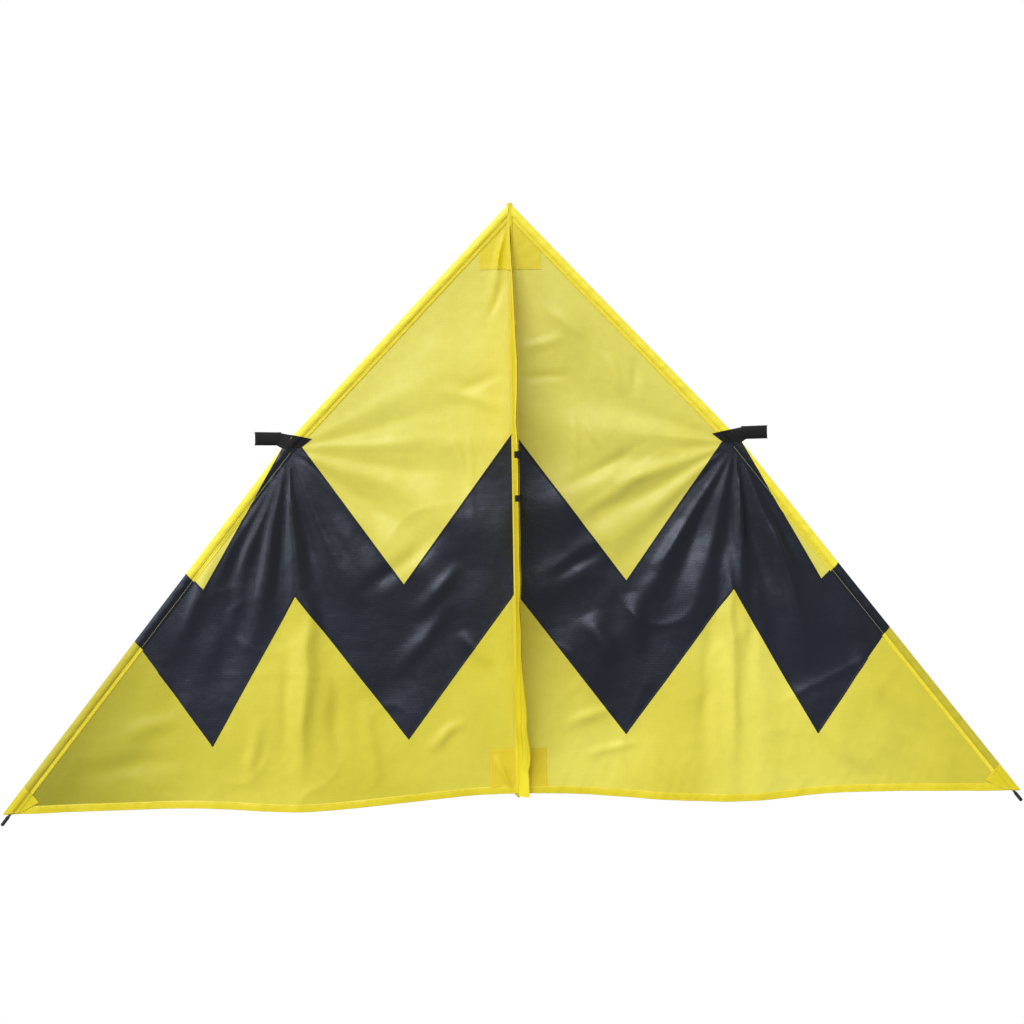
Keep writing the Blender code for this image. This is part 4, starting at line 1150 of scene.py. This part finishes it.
# %% Stitch sleeves, hems, seams and patches of both wings
for side_name, side in SIDES:
    wing, spine_bend = f"{side_name}_wing", from_spine(side_name, side)
    for name, start, end, first_lean, last_lean, finish, slot in SLEEVE_RUNS:
        length = end - start - {"tip_sleeve": 0.032, "nose_sleeve": 0.026}.get(name, 0.002)
        begin = 0.030 if name == "nose_sleeve" else 0.001
        run = edge_run(start + begin, first_lean, last_lean, length)
        over_band = name in ("shoulder_sleeve", "zigzag_sleeve")
        insets = (0.0185,) if over_band else (0.0175, 0.0215)
        thread = PALE_THREAD if over_band else YELLOW_THREAD
        rows = [sewn_line(side, run, length - begin, inset, 0.0014) for inset in insets]
        sew(f"{side_name}_{name}_stitches", rows, thread, slot, wing)
    rows = [sewn_line(side, trailing_route, WING_TIP.x - 0.025, inset, 0.0010) for inset in (0.0022, 0.0130)]
    sew(f"{side_name}_hem_stitches", rows, YELLOW_THREAD, "yellow_double", bend=spine_bend)
    rows = []
    for _, seam, towards in BAND_SEAMS:
        for start, end in seam_runs(seam, 0.40):
            route = straight_route(start, end, towards)
            rows += [sewn_line(side, route, (end - start).length, inset, 0.0009)
                     for inset in (0.0003, 0.0020)]
    sew(f"{side_name}_band_stitches", rows, DARK_THREAD, "dark_ripstop", bend=spine_bend)
    rows = []
    for name, corners in PATCHES.items():
        lift = 0.0019 if name == "tip" else 0.0010
        middle = sum((Vector(corner) for corner in corners), Vector((0, 0))) / 4
        ring = [Vector(corner).lerp(middle, 0.10) for corner in corners]
        spots = []
        for first, second in zip(ring, [*ring[1:], ring[0]]):
            for i in range(12):
                spots.append(patch_place(side, first.lerp(second, i / 12), lift))
        rows.append([*spots, spots[0]])
    sew(f"{side_name}_patch_stitches", rows, YELLOW_THREAD, "yellow_double", bend=spine_bend)

# %% Stitch the keel and the straps
BOX_CORNERS = ((0.78, 0.12), (0.78, 0.88), (0.97, 0.10), (0.97, 0.88))
for side_name, side in SIDES:
    rows = []
    # A crossed box: its four sides and its two diagonals
    for first, second in ((0, 2), (1, 3), (0, 1), (2, 3), (0, 3), (1, 2)):
        (u0, v0), (u1, v1) = BOX_CORNERS[first], BOX_CORNERS[second]
        spots = [strap_place(side, u0 + (u1 - u0) * i / 8, v0 + (v1 - v0) * i / 8) for i in range(9)]
        rows.append([spot + Vector((0, 0, 0.0006)) for spot in spots])
    sew(f"{side_name}_strap_stitches", rows, BLACK_THREAD, "webbing", f"{side_name}_wing")
for face, side in SIDES:
    rows = []
    for inset in (0.0025, 0.0110):
        depths = [KEEL_NOSE + 0.06 + (KEEL_TAIL - KEEL_NOSE - 0.12) * i / 90 for i in range(91)]
        rows.append([keel_place(d, 1 - inset / keel_height(d), side * 2 * KEEL_LAYER) for d in depths])
    sew(f"keel_{face}_stitches", rows, YELLOW_THREAD, "yellow_double", bend=KEEL_BEND)

# %% [markdown]
# ## What is cloth
#
# For each sheet, the share of the box of its flat cut that it fills is worked out. Its hems,
# seams and patches are listed beside it.

SEWN_ON = {"nose": ("nose_patch", "nose_sleeve", "upper_seam"), "shoulder": ("shoulder_sleeve",),
           "zigzag": ("zigzag_sleeve", "lower_seam"),
           "tail": ("tail_patch", "tip_patch", "tip_sleeve", "trailing_hem")}
for side_name, side in SIDES:
    for panel, names in SEWN_ON.items():
        piece, flat, area = wing_pieces[side_name, panel]
        share = area / (flat[0] * flat[1])
        area if share > 0.3 else None

# %% [markdown]
# ## Surroundings and light
#
# There is no floor, which would hide the wings when they flex back. The lower half of the
# surroundings is white instead. The upper half is grey, so that two soft lights, one towards the
# nose and one to the left, shade the folds.

# %% Light
world = bpy.data.worlds.new("studio")
world.use_nodes = True
world_tree = world.node_tree
backdrop = world_tree.nodes["Background"]
backdrop.inputs["Color"].default_value = (1.0, 1.0, 1.0, 1.0)
direction = world_tree.nodes.new("ShaderNodeTexCoord")
heights = world_tree.nodes.new("ShaderNodeSeparateXYZ")
above = world_tree.nodes.new("ShaderNodeMapRange")
LOWER_LIGHT, UPPER_LIGHT = 1.0, 0.37
for name, value in (("From Min", -0.01), ("From Max", 0.01),
                    ("To Min", LOWER_LIGHT), ("To Max", UPPER_LIGHT)):
    above.inputs[name].default_value = value
world_tree.links.new(direction.outputs["Generated"], heights.inputs[0])
world_tree.links.new(heights.outputs["Z"], above.inputs["Value"])
world_tree.links.new(above.outputs["Result"], backdrop.inputs["Strength"])
bpy.context.scene.world = world
bpy.context.scene.view_settings.view_transform = "Standard"


def far_light(name, direction, spread, strength):
    """A soft light from far away, so that both wings are lit alike."""
    data = bpy.data.lights.new(name, "SUN")
    data.angle, data.energy = math.radians(spread), strength
    lamp = bpy.data.objects.new(name, data)
    lamp.location = direction
    lamp.rotation_euler = (-Vector(direction)).to_track_quat("-Z", "Y").to_euler()
    bpy.context.scene.collection.objects.link(lamp)


far_light("key", (-0.9, 2.5, 3.1), 45.0, 2.75)
far_light("side", (-3.0, 0.6, 1.5), 35.0, 0.75)
